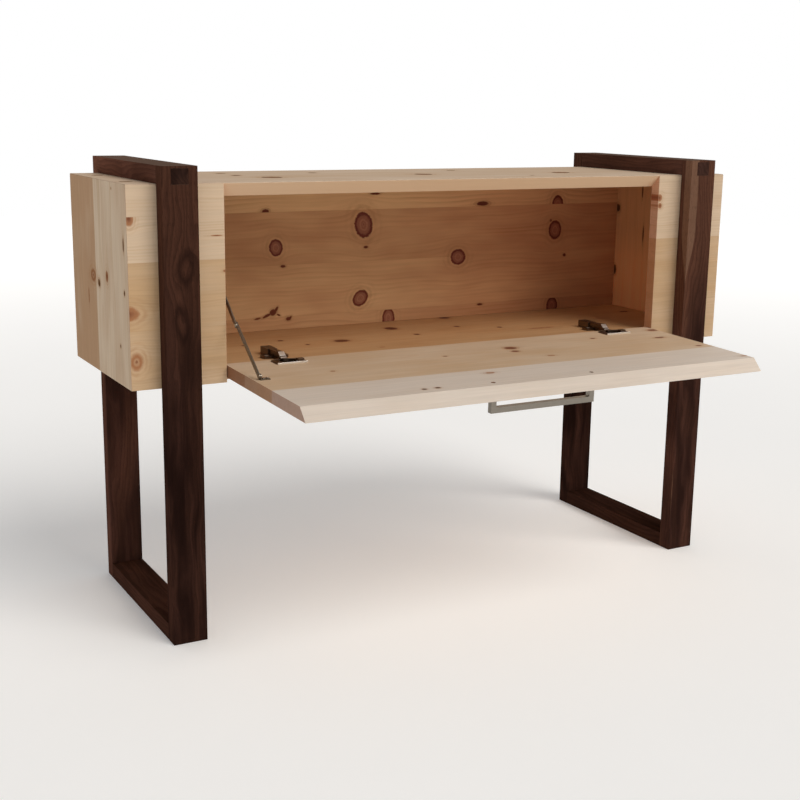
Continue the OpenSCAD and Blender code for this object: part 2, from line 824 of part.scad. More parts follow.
post(-frame_mid_x, -1);  // left_front_post
post(-frame_mid_x, 1);  // left_rear_post
top_rail(-frame_mid_x);  // left_top_rail
bottom_rail(-frame_mid_x);  // left_bottom_rail
post(frame_mid_x, -1);  // right_front_post
post(frame_mid_x, 1);  // right_rear_post
top_rail(frame_mid_x);  // right_top_rail
bottom_rail(frame_mid_x);  // right_bottom_rail
case_top();
case_floor();
case_back();
case_end(-1);  // left_end
case_end(1);  // right_end
left_front_panel();
front_panel(1);  // right_front_panel
flap_rear_board();
flap_middle_board();
flap_front_board();
handle();
handle_screws();
hinge_cup(hinge_xs[0]);  // left_hinge_cup
cup_screws(hinge_xs[0]);  // left_cup_screws
hinge_arm(hinge_xs[0]);  // left_hinge_arm
hinge_plate(hinge_xs[0]);  // left_hinge_plate
plate_screws(hinge_xs[0]);  // left_plate_screws
arm_screws(hinge_xs[0]);  // left_arm_screws
hinge_pin(hinge_xs[0]);  // left_hinge_pin
hinge_cup(hinge_xs[1]);  // right_hinge_cup
cup_screws(hinge_xs[1]);  // right_cup_screws
hinge_arm(hinge_xs[1]);  // right_hinge_arm
hinge_plate(hinge_xs[1]);  // right_hinge_plate
plate_screws(hinge_xs[1]);  // right_plate_screws
arm_screws(hinge_xs[1]);  // right_arm_screws
hinge_pin(hinge_xs[1]);  // right_hinge_pin
stay_wall_bracket();
stay_wall_screws();
stay_wall_rivet();
stay_upper_arm();
stay_knuckle_rivet();
stay_lower_arm();
stay_flap_bracket();
stay_flap_screws();
stay_flap_rivet();
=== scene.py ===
"""Looks of the sideboard, built around its packed construction model.

Lengths are millimetres in the dataclasses and in the shaders, and metres in the meshes.
"""

import json
import logging
import math
from collections.abc import Callable
from dataclasses import dataclass, field
from enum import Enum

import bmesh
import bpy
import numpy as np
from mathutils import Matrix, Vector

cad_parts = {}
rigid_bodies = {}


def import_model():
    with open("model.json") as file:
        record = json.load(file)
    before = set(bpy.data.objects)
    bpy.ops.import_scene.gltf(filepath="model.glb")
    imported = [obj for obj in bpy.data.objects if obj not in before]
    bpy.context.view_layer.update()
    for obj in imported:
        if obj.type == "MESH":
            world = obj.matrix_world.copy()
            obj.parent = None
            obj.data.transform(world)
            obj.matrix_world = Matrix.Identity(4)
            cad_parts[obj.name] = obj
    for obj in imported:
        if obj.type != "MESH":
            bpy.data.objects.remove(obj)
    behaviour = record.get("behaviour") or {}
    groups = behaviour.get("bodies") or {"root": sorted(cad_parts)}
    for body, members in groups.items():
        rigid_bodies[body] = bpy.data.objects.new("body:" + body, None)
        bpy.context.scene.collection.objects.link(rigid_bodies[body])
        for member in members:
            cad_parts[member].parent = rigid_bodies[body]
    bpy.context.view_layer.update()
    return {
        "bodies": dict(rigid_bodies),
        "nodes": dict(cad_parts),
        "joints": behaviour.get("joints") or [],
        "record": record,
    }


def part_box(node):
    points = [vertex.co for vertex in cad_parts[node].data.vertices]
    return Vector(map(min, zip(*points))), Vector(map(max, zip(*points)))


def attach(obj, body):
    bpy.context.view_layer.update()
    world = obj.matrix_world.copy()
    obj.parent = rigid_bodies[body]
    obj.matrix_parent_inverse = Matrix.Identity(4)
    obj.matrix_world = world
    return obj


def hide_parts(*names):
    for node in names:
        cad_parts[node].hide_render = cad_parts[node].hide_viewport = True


MM = 0.001
TINY = 1e-6
CIRCLE_STEPS = 96
# An eased copy merges points this near, in millimetres, joins faces within the first angle, in degrees, and rounds
# edges past the second in this many steps.
MERGE_REACH, FLAT_ANGLE, EDGE_ANGLE, EDGE_STEPS = 0.01, 0.5, 28.0, 2
# The open flap: (y, z) of its inner edge, and how far it hangs below level.
FLAP_EDGE, FLAP_DROOP = (-164.0, 513.5), math.radians(1.5)
DROOP_COS, DROOP_SIN = math.cos(FLAP_DROOP), math.sin(FLAP_DROOP)
log = logging.getLogger("sideboard")

Pair = tuple[float, float]
Triple = tuple[float, float, float]
Piece = bpy.types.Object
Material = bpy.types.Material
Operand = "Field | float"


# ---- Shader maths ----


def operator(operation: str, reflected: bool = False) -> "Callable[[Field, Operand], Field]":
    """Makes the method of Field for an operation of a Math node, with the other value first where it is reflected."""
    def method(self: "Field", other: Operand) -> "Field":
        """The operation on this value and the other."""
        return self.graph.math(operation, *((other, self) if reflected else (self, other)))
    return method


class Field:
    """A number or a vector that a shader works out, held as the socket that gives it."""

    __add__, __radd__ = operator("ADD"), operator("ADD", True)
    __sub__, __rsub__ = operator("SUBTRACT"), operator("SUBTRACT", True)
    __mul__, __rmul__ = operator("MULTIPLY"), operator("MULTIPLY", True)
    __truediv__, __pow__, __gt__ = operator("DIVIDE"), operator("POWER"), operator("GREATER_THAN")

    def __init__(self, graph: "Graph", socket: bpy.types.NodeSocket) -> None:
        """Keeps the graph and the socket."""
        self.graph = graph
        self.socket = socket

    def __abs__(self) -> "Field":
        """The size without its sign."""
        return self.graph.math("ABSOLUTE", self)


class Graph:
    """The node tree of a material or of the world, with one method for each way of adding to it."""

    def __init__(self, owner: bpy.types.ID) -> None:
        """Empties the tree of its owner."""
        self.owner = owner
        owner.use_nodes = True
        self.tree = owner.node_tree
        self.tree.nodes.clear()

    def node(self, kind: str, settings: dict | None = None, inputs: dict | None = None) -> bpy.types.Node:
        """Adds a node.

        Args:
            kind: Blender's type name of the node.
            settings: attributes, which are set before the sockets.
            inputs: socket name or number to a value, a Field or a socket.

        Returns:
            The node.
        """
        node = self.tree.nodes.new(kind)
        for key, value in (settings or {}).items():
            setattr(node, key, value)
        for key, value in (inputs or {}).items():
            self.feed(node.inputs[key], value)
        return node

    def feed(self, socket: bpy.types.NodeSocket, value: object) -> None:
        """Links a Field or a socket to a socket, or sets a plain value on it."""
        source = value.socket if isinstance(value, Field) else value
        if isinstance(source, bpy.types.NodeSocket):
            self.tree.links.new(source, socket)
        else:
            socket.default_value = source

    def output(self, kind: str, name: str | int, settings: dict | None = None, inputs: dict | None = None) -> Field:
        """What a new node gives at one of its outputs."""
        return Field(self, self.node(kind, settings, inputs).outputs[name])

    def math(self, operation: str, *values: Operand) -> Field:
        """A Math node of one operation on the values given."""
        return self.output("ShaderNodeMath", 0, {"operation": operation}, dict(enumerate(values)))

    def vector(self, operation: str, *values: object) -> Field:
        """A Vector Math node; a dot product or a length gives its number."""
        name = "Value" if operation in ("DOT_PRODUCT", "LENGTH") else "Vector"
        return self.output("ShaderNodeVectorMath", name, {"operation": operation}, dict(enumerate(values)))

    def dot(self, first: object, second: object) -> Field:
        """The dot product of two vectors."""
        return self.vector("DOT_PRODUCT", first, second)

    def scaled(self, vector: Field, by: Operand) -> Field:
        """A vector times a number."""
        return self.output("ShaderNodeVectorMath", "Vector", {"operation": "SCALE"}, {0: vector, "Scale": by})

    def value(self, number: float) -> Field:
        """A plain number as a Field."""
        return self.math("ADD", number, 0.0)

    def point(self, x: Operand, y: Operand, z: Operand = 0.0) -> Field:
        """A vector made of three numbers."""
        return self.output("ShaderNodeCombineXYZ", 0, None, {0: x, 1: y, 2: z})

    def grey(self, tone: Operand) -> Field:
        """A colour whose red, green and blue are all the tone."""
        return self.point(tone, tone, tone)

    def coordinate(self, kind: str) -> Field:
        """One of the texture coordinates."""
        return self.output("ShaderNodeTexCoord", kind)

    def facing(self, way: Triple, low: float, high: float) -> Field:
        """0 where the normal goes by low or less along a way, and 1 where it goes by high or more."""
        return self.smooth(self.dot(self.coordinate("Normal"), way), low, high)

    def smooth(self, value: Field, low: float, high: float) -> Field:
        """0 at low and 1 at high, with a smooth step in between; low may be the greater."""
        return self.output("ShaderNodeMapRange", "Result", {"interpolation_type": "SMOOTHSTEP"},
                           {"Value": value, "From Min": low, "From Max": high})

    def noise(self, at: object, detail: float = 2.0, roughness: float = 0.5) -> Field:
        """Perlin noise about 0.5, of period 1 in a vector that is given as a Field or as its numbers."""
        at = self.point(*at) if isinstance(at, tuple) else at
        return self.output("ShaderNodeTexNoise", "Fac", None,
                           {"Vector": at, "Scale": 1.0, "Detail": detail, "Roughness": roughness})

    def sway(self, at: object, detail: float = 2.0, roughness: float = 0.5) -> Field:
        """The same noise about 0."""
        return self.noise(at, detail, roughness) - 0.5

    def chance(self, seed: Field) -> Field:
        """A number from 0 to 1 that jumps with every change of the seed."""
        return self.output("ShaderNodeTexWhiteNoise", "Value", {"noise_dimensions": "1D"}, {"W": seed})

    def mix(self, factor: Operand, first: object, second: object) -> Field:
        """A mix of two colours, each a Field or a (red, green, blue)."""
        first, second = ((*c, 1.0) if isinstance(c, tuple) else c for c in (first, second))
        return self.output("ShaderNodeMix", 2, {"data_type": "RGBA"}, {0: factor, 6: first, 7: second})

    def finish(self, colour: Field, roughness: Operand, height: Field, lift: float,
               **constants: object) -> Material:
        """Ends the tree in a Principled shader.

        Args:
            colour: the base colour.
            roughness: the roughness.
            height: what stands out of the surface, from 0 to 1.
            lift: how far 1 stands out, in millimetres.
            constants: the shader's other sockets, a space in the name written as an underscore.

        Returns:
            The material.
        """
        bump = self.node("ShaderNodeBump", None, {"Height": height, "Strength": 1.0, "Distance": lift * MM})
        shader = self.node("ShaderNodeBsdfPrincipled", None,
                           {"Base Color": colour, "Roughness": roughness, "Normal": bump.outputs[0]})
        for name, value in constants.items():
            self.feed(shader.inputs[name.replace("_", " ")], value)
        self.node("ShaderNodeOutputMaterial", None, {"Surface": shader.outputs[0]})
        return self.owner


# ---- Finishes ----


@dataclass(frozen=True)
class Grain:
    """How the wood lies in a piece: where its measures start and the way that each runs."""

    start: Triple
    along: Triple
    across: Triple
    through: Triple

    def measures(self, g: Graph) -> tuple[Field, Field, Field]:
        """The distances along, across and through the wood, in millimetres."""
        offset = g.vector("SUBTRACT", g.scaled(g.coordinate("Object"), 1 / MM), self.start)
        return tuple(g.dot(offset, way) for way in (self.along, self.across, self.through))

    def end_share(self, g: Graph) -> Field:
        """1 on a face that cuts across the grain, and 0 on a face along it."""
        return g.dot(g.coordinate("Normal"), self.along) ** 2.0


class Cut(Enum):
    """Which side of a glue line a knot is kept on."""

    WHOLE = 0
    BELOW = 1
    ABOVE = -1


class Knotwood(Enum):
    """What a knot looks like: dark, lighter inside a dark rim, with soft rings, or brown with a blurred edge."""

    DARK = "dark"
    HEARTED = "hearted"
    SOFT = "soft"
    TAN = "tan"


@dataclass(frozen=True)
class Knot:
    """A knot: its place on the board, its half width across the grain, how long it is for that width, and how many
    degrees it lies aslant."""

    along: float
    across: float
    radius: float
    length: float = 1.0
    slant: float = 0.0
    cut: Cut = Cut.WHOLE
    seam: float = 0.0
    wood: Knotwood = Knotwood.DARK


# In a knot's radii: how far off a board without knots has one, and how much further one is across a glue line.
FAR_OFF, BEYOND_SEAM = 9.0, 8.0
PITH_REACH = (0.16, 0.02)


def grain_round_knots(g: Graph, knots: tuple[Knot, ...], along: Field,
                      across: Field) -> tuple[Operand, dict[Knotwood, Field]]:
    """Finds how knots push the grain aside, as a stone does to water that flows round it.

    Args:
        g: the material's graph.
        knots: the knots of the board.
        along: distance along the board.
        across: distance across it.

    Returns:
        How far the grain is pushed, and for each kind of knot the distance to the nearest, in its radii.
    """
    place = g.point(along, across)
    bend = None
    nearest = {wood: g.value(FAR_OFF) for wood in Knotwood}
    for knot in knots:
        reach = knot.radius * knot.length
        if knot.slant:
            cos, sin = math.cos(math.radians(knot.slant)), math.sin(math.radians(knot.slant))
            offset = g.vector("SUBTRACT", place, (knot.along, knot.across, 0.0))
            apart = g.point(g.dot(offset, (cos / reach, sin / reach, 0.0)),
                            g.dot(offset, (-sin / knot.radius, cos / knot.radius, 0.0)))
        else:
            apart = g.vector("MULTIPLY_ADD", place, (1 / reach, 1 / knot.radius, 1.0),
                             (-knot.along / reach, -knot.across / knot.radius, 0.0))
        far = g.vector("LENGTH", apart)
        if knot.cut is not Cut.WHOLE:
            beyond = (across > knot.seam) if knot.cut is Cut.BELOW else 1.0 - (across > knot.seam)
            far = far + beyond * BEYOND_SEAM
        push = g.scaled(apart, g.math("MAXIMUM", far, 1.0) ** -2.0 * knot.radius)
        bend = push if bend is None else g.vector("ADD", bend, push)
        nearest[knot.wood] = g.math("MINIMUM", nearest[knot.wood], far)
    if bend is None:
        return 0.0, nearest
    return g.dot(bend, (0.0, 1.0, 0.0)), nearest


@dataclass(frozen=True)
class Coat:
    """A coat of a knot's colour. It starts at one distance and is full at another, both in the knot's radii. Its
    share can swing like a sine of the distance, and be less in the middle by the share of a pith."""

    start: float
    full: float
    share: float
    tone: Triple
    swing: float = 0.0
    rate: float = 0.0
    phase: float = 0.0
    pith: float = 0.0

    def over(self, g: Graph, colour: Field, near: Field) -> Field:
        """The colour with the coat laid over it, where near is the distance to the knot."""
        rings = self.share + self.swing * g.math("SINE", near * self.rate + self.phase) if self.swing else self.share
        share = g.smooth(near, self.start, self.full) * rings
        if self.pith:
            share = share * (1.0 - g.smooth(near, *PITH_REACH) * self.pith)
        return g.mix(share, colour, self.tone)


@dataclass(frozen=True)
class PineTones:
    """The colours of one board of pine."""

    pale: Triple = (0.66, 0.50, 0.35)
    warm: Triple = (0.55, 0.36, 0.20)
    late: Triple = (0.46, 0.27, 0.13)
    knot_rim: Triple = (0.140, 0.034, 0.018)
    knot_heart: Triple = (0.43, 0.185, 0.105)
    knot_dark: Triple = (0.110, 0.052, 0.022)
    knot_soft: Triple = (0.36, 0.150, 0.065)
    halo: Triple = (0.42, 0.22, 0.10)
    # cut is the colour of painted light: faces that look down and to the front, as the top's mitred front edge does,
    # are lightened towards it.
    cut: Triple = (0.86, 0.60, 0.38)

    def coats(self) -> dict[Knotwood, tuple[Coat, ...]]:
        """The coats of each kind of knot, the lowest first."""
        return {
            Knotwood.TAN: (Coat(1.2, 0.75, 0.9, self.knot_soft), Coat(0.8, 0.1, 0.7, self.knot_rim)),
            Knotwood.SOFT: (Coat(1.2, 0.8, 0.7, self.knot_soft, swing=0.25, rate=9.0, phase=2.6),
                            Coat(0.25, 0.08, 0.5, self.knot_rim)),
            Knotwood.DARK: (Coat(1.9, 0.9, 0.35, self.knot_soft), Coat(1.2, 0.75, 1.0, self.knot_dark)),
            Knotwood.HEARTED: (Coat(1.1, 0.94, 1.0, self.knot_rim),
                               Coat(0.92, 0.5, 0.72, self.knot_heart, swing=0.16, rate=20.0, pith=0.5)),
        }


CREAM = PineTones()
SAND = PineTones(pale=(0.66, 0.52, 0.40), warm=(0.56, 0.39, 0.25), late=(0.47, 0.29, 0.16),
                 knot_rim=(0.125, 0.060, 0.030), knot_heart=(0.33, 0.170, 0.090))
HONEY = PineTones(pale=(0.68, 0.54, 0.40), warm=(0.49, 0.31, 0.19), late=(0.48, 0.30, 0.155),
                  knot_soft=(0.29, 0.125, 0.055), knot_heart=(0.38, 0.18, 0.085))
# These three tones are painted shade and bounce light: warmer, more saturated colours for the inner faces of the back
# and the right end and for the floor, standing in for the warm light inside the case.
AMBER_INSIDE_SHADE = PineTones(pale=(0.84, 0.54, 0.275), warm=(0.60, 0.32, 0.158), late=(0.44, 0.205, 0.084),
                  knot_rim=(0.150, 0.030, 0.018), knot_dark=(0.15, 0.038, 0.018))
OCHRE_INSIDE_SHADE = PineTones(pale=(0.56, 0.34, 0.175), warm=(0.47, 0.24, 0.105), late=(0.34, 0.15, 0.056),
                  knot_dark=(0.12, 0.032, 0.014))
BRONZE_INSIDE_BOUNCE = PineTones(pale=(0.90, 0.56, 0.31), warm=(0.79, 0.43, 0.21), late=(0.55, 0.26, 0.10))
ROSE = PineTones(pale=(0.66, 0.51, 0.37), warm=(0.56, 0.37, 0.21), late=(0.48, 0.28, 0.14),
                 knot_dark=(0.22, 0.085, 0.045))
ASH = PineTones(pale=(0.71, 0.615, 0.53), warm=(0.66, 0.54, 0.435), late=(0.58, 0.45, 0.33))


@dataclass(frozen=True)
class PineMarks:
    """What all pine boards share: the rings' measures in millimetres, and how strong each mark is."""

    pith_depth: float = 34.0
    pith_spread: float = 26.0
    pith_aside: float = 170.0
    drift: float = 26.0
    waver: float = 2.2
    sweep: float = 46.0
    clouds: float = 1.3
    fibres: float = 0.16
    streaks: float = 0.2
    seam: float = 0.28
    worn_edge: float = 0.25
    halo: float = 0.6
    raggedness: float = 0.5
    rough: float = 0.52
    relief: float = 0.16
    # mitre is the way that faces given the painted light look: down and to the front.
    mitre: Triple = (0.0, -0.707, -0.707)


@dataclass(frozen=True)
class PineFinish:
    """Soaped knotty pine: glued strips of wood whose rings bend round the knots."""

    name: str
    grain: Grain
    knots: tuple[Knot, ...] = ()
    seams: tuple[float, ...] = ()
    warmths: tuple[float, ...] = (0.3,)
    tones: PineTones = PineTones()
    seed: float = 0.0
    ring_gap: float = 5.6
    contrast: float = 0.42
    # How strongly faces that look down and to the front are lightened with painted light.
    mitre_painted_light: float = 0.0
    end_tint: Triple = (0.86, 0.74, 0.68)
    shift: tuple[float, float, Triple] | None = None
    # Through the board, where the painted shade tones of the inner face give way to the plain pine of the outer face.
    painted_inside_limit: Pair | None = None
    gloss: float = 0.08
    marks: PineMarks = PineMarks()

    def material(self) -> Material:
        """Builds the material.

        The rings are circles round a pith that lies off the face, so a face along the wood shows lines and
        pointed arches, and a cut end shows curves. A line keeps its place as water does that flows round a
        stone: near a knot the distance across shrinks by the square of radius over distance. What divides a
        place in a noise is the noise's period in millimetres, and what is added to it is its seed.

        Returns:
            The material.
        """
        g, m, t = Graph(bpy.data.materials.new(self.name)), self.marks, self.tones
        along, across, through = self.grain.measures(g)
        strip = sum(((across > seam) for seam in self.seams), g.value(self.seed))
        chance = g.chance(strip)
        warmth = self.warmths[0]
        for seam, before, after in zip(self.seams, self.warmths, self.warmths[1:]):
            warmth = warmth + (across > seam) * (after - before)
        bend, distance = grain_round_knots(g, self.knots, along, across)
        flow = across - bend

        drift = g.sway((along / 260, flow / 90, through / 90 + strip * 7.0), 1.5)
        waver = g.sway((along / 55, flow / 16, through / 16 + strip * 5.0))
        sweep = g.sway((along / 420, strip * 3.0), 1.0)
        side = flow + (chance - 0.5) * m.pith_aside + drift * m.drift + waver * m.waver
        deep = through + m.pith_depth + chance * m.pith_spread + sweep * m.sweep
        years = (side * side + deep * deep) ** 0.5 / self.ring_gap
        turn = g.math("FRACT", years)
        weather = g.chance(g.math("FLOOR", years) + strip * 31.0)
        late = g.smooth(turn, 0.2, 0.86) * g.smooth(turn, 1.0, 0.9) * (0.25 + 0.75 * weather)
        late = late * g.smooth(g.noise((along / 260, flow / 26, strip)), 0.3, 0.68)

        fibre = g.sway((along / 70, flow / 1.6, through / 1.6), 3.0, 0.6)
        streak = g.sway((along / 190, flow / 7, through / 7 + strip))
        cloud = g.sway((along / 200, flow / 60, strip * 2.0), 2.0, 0.6)
        warmth = g.math("MINIMUM", g.math("MAXIMUM", warmth + cloud * m.clouds, 0.0), 1.0)
        colour = g.mix(late * self.contrast, g.mix(warmth, t.pale, t.warm), t.late)
        inside = g.value(1.0)
        # The inner face keeps the painted shade tones, and the outer face has the plain cream pine.
        if self.painted_inside_limit:
            inside = 1.0 - g.smooth(through, *self.painted_inside_limit)
            outer = g.mix(late * self.contrast, g.mix(warmth, CREAM.pale, CREAM.warm), CREAM.late)
            colour = g.mix(inside, outer, colour)
        colour = g.vector("MULTIPLY", colour, g.grey(1.0 + fibre * m.fibres + streak * m.streaks))
        colour = self._knotted(g, colour, along, across, distance)
        colour = g.mix(self.grain.end_share(g), colour, g.vector("MULTIPLY", colour, self.end_tint))
        # A tint over a run along the board; on the back it is painted shade, and on the right end painted light.
        if self.shift:
            start, finish, tint = self.shift
            colour = g.mix(g.smooth(along, start, finish) * inside, colour, g.vector("MULTIPLY", colour, tint))
        # Painted light: faces that look down and to the front are lightened towards the cut tone.
        if self.mitre_painted_light:
            colour = g.mix(g.facing(m.mitre, 0.8, 0.98) * self.mitre_painted_light, colour, t.cut)
        for seam in self.seams:
            colour = g.mix(g.smooth(abs(across - seam), 0.8, 0.3) * m.seam, colour, t.late)
        edge = g.output("ShaderNodeAttribute", "Fac", {"attribute_name": "edge"})
        colour = g.mix(edge * m.worn_edge, colour, t.pale)
        core = g.smooth(g.math("MINIMUM", distance[Knotwood.DARK], distance[Knotwood.HEARTED]), 1.05, 0.9)
        rough = m.rough + late * 0.06 + fibre * 0.12 - core * 0.1
        height = late * 0.35 + (fibre + 0.5) * 0.45 + core * 0.3
        return g.finish(colour, rough, height, m.relief, Specular_IOR_Level=self.gloss)

    def _knotted(self, g: Graph, colour: Field, along: Field, across: Field, distance: dict[Knotwood, Field]) -> Field:
        """Lays the knots over the wood, each inside a tan halo of rings.

        Args:
            g: the material's graph.
            colour: the wood without knots.
            along: distance along the board.
            across: distance across it.
            distance: for each kind of knot the distance to the nearest, in its radii.

        Returns:
            The colour with its knots.
        """
        ragged = g.sway((along / 7, across / 7, self.seed), 4.0, 0.65) * self.marks.raggedness
        coats = self.tones.coats()
        for wood, far in distance.items():
            if all(knot.wood is not wood for knot in self.knots):
                continue
            near = far + ragged * (1.5 if wood is Knotwood.DARK else 0.8)
            patchy = g.smooth(g.noise((along / 24, across / 24, self.seed + 3.0), 1.0), 0.3, 0.65)
            halo = g.smooth(far, 2.7, 1.0) * (0.5 + 0.4 * g.math("SINE", near * 10.0)) * (0.35 + 0.65 * patchy)
            colour = g.mix(halo * self.marks.halo, colour, self.tones.halo)
            for coat in coats[wood]:
                colour = coat.over(g, colour, near)
        return colour


@dataclass(frozen=True)
class WalnutFinish:
    """Oiled walnut: dark streaks and pores, with a lighter corner of sapwood where one is given."""

    name: str
    grain: Grain
    seed: float = 0.0
    eyes: tuple[Knot, ...] = ()
    sap_reach: float = 0.0
    sap_end: float = 600.0
    pale_from: float = 420.0
    paleness: float = 0.0
    end_tone: float = 1.0
    # A painted sheen on faces that look up, and its greyish tone.
    top_painted_sheen: float = 0.0
    painted_sheen_tone: Triple = (0.150, 0.104, 0.080)
    dark: Triple = (0.0168, 0.0076, 0.0058)
    brown: Triple = (0.053, 0.0228, 0.0162)
    red: Triple = (0.090, 0.038, 0.0235)
    sap: Triple = (0.142, 0.076, 0.048)
    # lift makes the whole piece lighter or darker: partly its own tone, and partly painted light and sheen.
    lift: float = 1.0
    # How much lighter, as painted sheen, faces that look to the left are made.
    left_painted_sheen: float = 0.38
    pith: Pair = (21.0, 30.0)
    drift: Pair = (60.0, 30.0)
    waver: float = 4.0
    ring_gap: float = 8.5
    ring_share: float = 0.35
    eye_push: float = 1.6
    eye_share: float = 0.6
    pore_share: float = 0.55
    fibres: float = 0.5
    pale_run: float = 330.0
    sap_run: float = 130.0
    relief: float = 0.14

    def material(self) -> Material:
        """Builds the material: wide rings round a far pith, dark pores along the grain, and a corner of sapwood.

        Returns:
            The material.
        """
        g = Graph(bpy.data.materials.new(self.name))
        along, across, through = self.grain.measures(g)
        bend, distance = grain_round_knots(g, self.eyes, along, across)
        drift = g.sway((along / 240 + self.seed, across / 55, through / 55))
        waver = g.sway((along / 70, across / 16, through / 16 + self.seed))
        side = across - bend * self.eye_push + self.pith[0] + drift * self.drift[0] + waver * self.waver
        deep = through + self.pith[1] + drift * self.drift[1]
        turn = g.math("FRACT", (side * side + deep * deep) ** 0.5 / self.ring_gap)
        late = g.smooth(turn, 0.2, 0.95) * g.smooth(turn, 1.0, 0.95)
        figure = g.noise((along / 210, side / 24, self.seed), 3.0)
        flush = g.noise((along / 300 + self.seed, across / 30, through / 30), 1.0)
        pores = g.smooth(g.noise((along / 14, across / 0.9, through / 0.9), 2.0, 0.6), 0.56, 0.68)
        fibre = g.noise((along / 60, across / 1.4, through / 1.4), 3.0, 0.6)
        paler = g.smooth(along + (flush - 0.5) * 300.0, self.pale_from, self.pale_from + self.pale_run)
        colour = g.mix(g.smooth(figure, 0.34, 0.74), self.dark, self.brown)
        colour = g.mix(g.smooth(flush, 0.45, 0.8) * 0.35 + paler * self.paleness, colour, self.red)
        colour = g.mix(late * self.ring_share, colour, self.dark)
        eye = distance[Knotwood.DARK] + g.sway((along / 22, across / 9, self.seed))
        colour = g.mix(g.smooth(eye, 2.3, 1.2) * g.smooth(eye, 0.4, 1.2) * self.eye_share, colour, self.dark)
        if self.sap_reach:
            wander = g.sway((along / 160, self.seed), 1.0) * 9.0
            edge = g.smooth(along, self.sap_end, self.sap_end + self.sap_run) * self.sap_reach
            inside = edge - across - through * 1.05 + wander
            colour = g.mix(g.smooth(inside, -1.0, 1.5) * (0.6 + 0.4 * fibre), colour, self.sap)
        colour = g.mix(pores * self.pore_share, colour, self.dark)
        # Painted sheen: faces that look to the left are made lighter.
        leftward = g.facing((-1.0, 0.0, 0.0), 0.5, 0.95) * self.left_painted_sheen
        colour = g.vector("MULTIPLY", colour, g.grey((1.0 + (fibre - 0.5) * self.fibres + leftward) * self.lift))
        end = self.end_tone / self.lift
        colour = g.mix(self.grain.end_share(g), colour, g.vector("MULTIPLY", colour, (end, end * 1.12, end * 1.25)))
        # Painted sheen: faces that look up are lightened towards a greyish tone, where the light falls on them; the
        # bottom rails have none.
        if self.top_painted_sheen:
            upward = g.facing((0.0, 0.0, 1.0), 0.5, 0.95)
            colour = g.mix(upward * self.top_painted_sheen * (0.75 + fibre * 0.4), colour, self.painted_sheen_tone)
        rough = 0.42 + fibre * 0.12 + pores * 0.15
        height = fibre * 0.4 - pores * 0.6 + 0.6
        return g.finish(colour, rough, height, self.relief, Specular_IOR_Level=0.0)


@dataclass(frozen=True)
class MetalFinish:
    """Brushed or plain metal: fine brush lines along one way and faint handling marks."""

    name: str
    colour: Triple
    brushed: Triple
    rough: float = 0.3
    lines: float = 0.1
    relief: float = 0.012

    def material(self) -> Material:
        """Builds the material. The brush lines are noise that is short across the brushing and long along it.

        Returns:
            The material.
        """
        g = Graph(bpy.data.materials.new(self.name))
        place = g.scaled(g.coordinate("Object"), 1 / MM)
        lines = g.sway(g.vector("MULTIPLY", place, self.brushed), 2.0, 0.6)
        marks = g.sway(g.scaled(place, 0.09), 3.0, 0.55)
        colour = g.vector("MULTIPLY", self.colour, g.grey(1.0 + lines * 0.25 + marks * 0.25))
        rough = self.rough + lines * self.lines + marks * 0.16
        return g.finish(colour, rough, lines + 0.5, self.relief, Metallic=1.0)


# ---- Shapes ----


def linked(name: str, data: bpy.types.ID) -> Piece:
    """Makes an object of some data, in the scene."""
    made = bpy.data.objects.new(name, data)
    bpy.context.scene.collection.objects.link(made)
    return made


def loft(name: str, rings: np.ndarray, normals: np.ndarray, edge: np.ndarray, closed: bool = True) -> Piece:
    """Makes a piece from rings of points, each joined to the next, with a flat cap on the last.

    Args:
        name: the piece's name.
        rings: (rings, points, 3) places in millimetres, each ring anticlockwise seen from the last ring's side.
        normals: (rings, points, 3) directions that the surface faces at each point.
        edge: (rings, points) 1 where the piece's edge is rounded, and 0 on its faces.
        closed: whether the first ring has a cap too.

    Returns:
        The piece.
    """
    count, size = rings.shape[:2]
    index = np.arange(count * size).reshape(count, size)
    ahead = np.roll(index, -1, axis=1)
    quads = np.stack([index[:-1], ahead[:-1], ahead[1:], index[1:]], axis=-1).reshape(-1, 4)
    faces = quads.tolist() + [index[-1].tolist()] + ([index[0, ::-1].tolist()] if closed else [])
    mesh = bpy.data.meshes.new(name)
    mesh.from_pydata((rings.reshape(-1, 3) * MM).tolist(), [], faces)
    mesh.polygons.foreach_set("use_smooth", np.ones(len(faces), bool))
    mesh.attributes.new("edge", "FLOAT", "POINT").data.foreach_set("value", edge.astype(np.float32).ravel())
    mesh.normals_split_custom_set_from_vertices(normals.reshape(-1, 3).tolist())
    mesh.update()
    return linked(name, mesh)


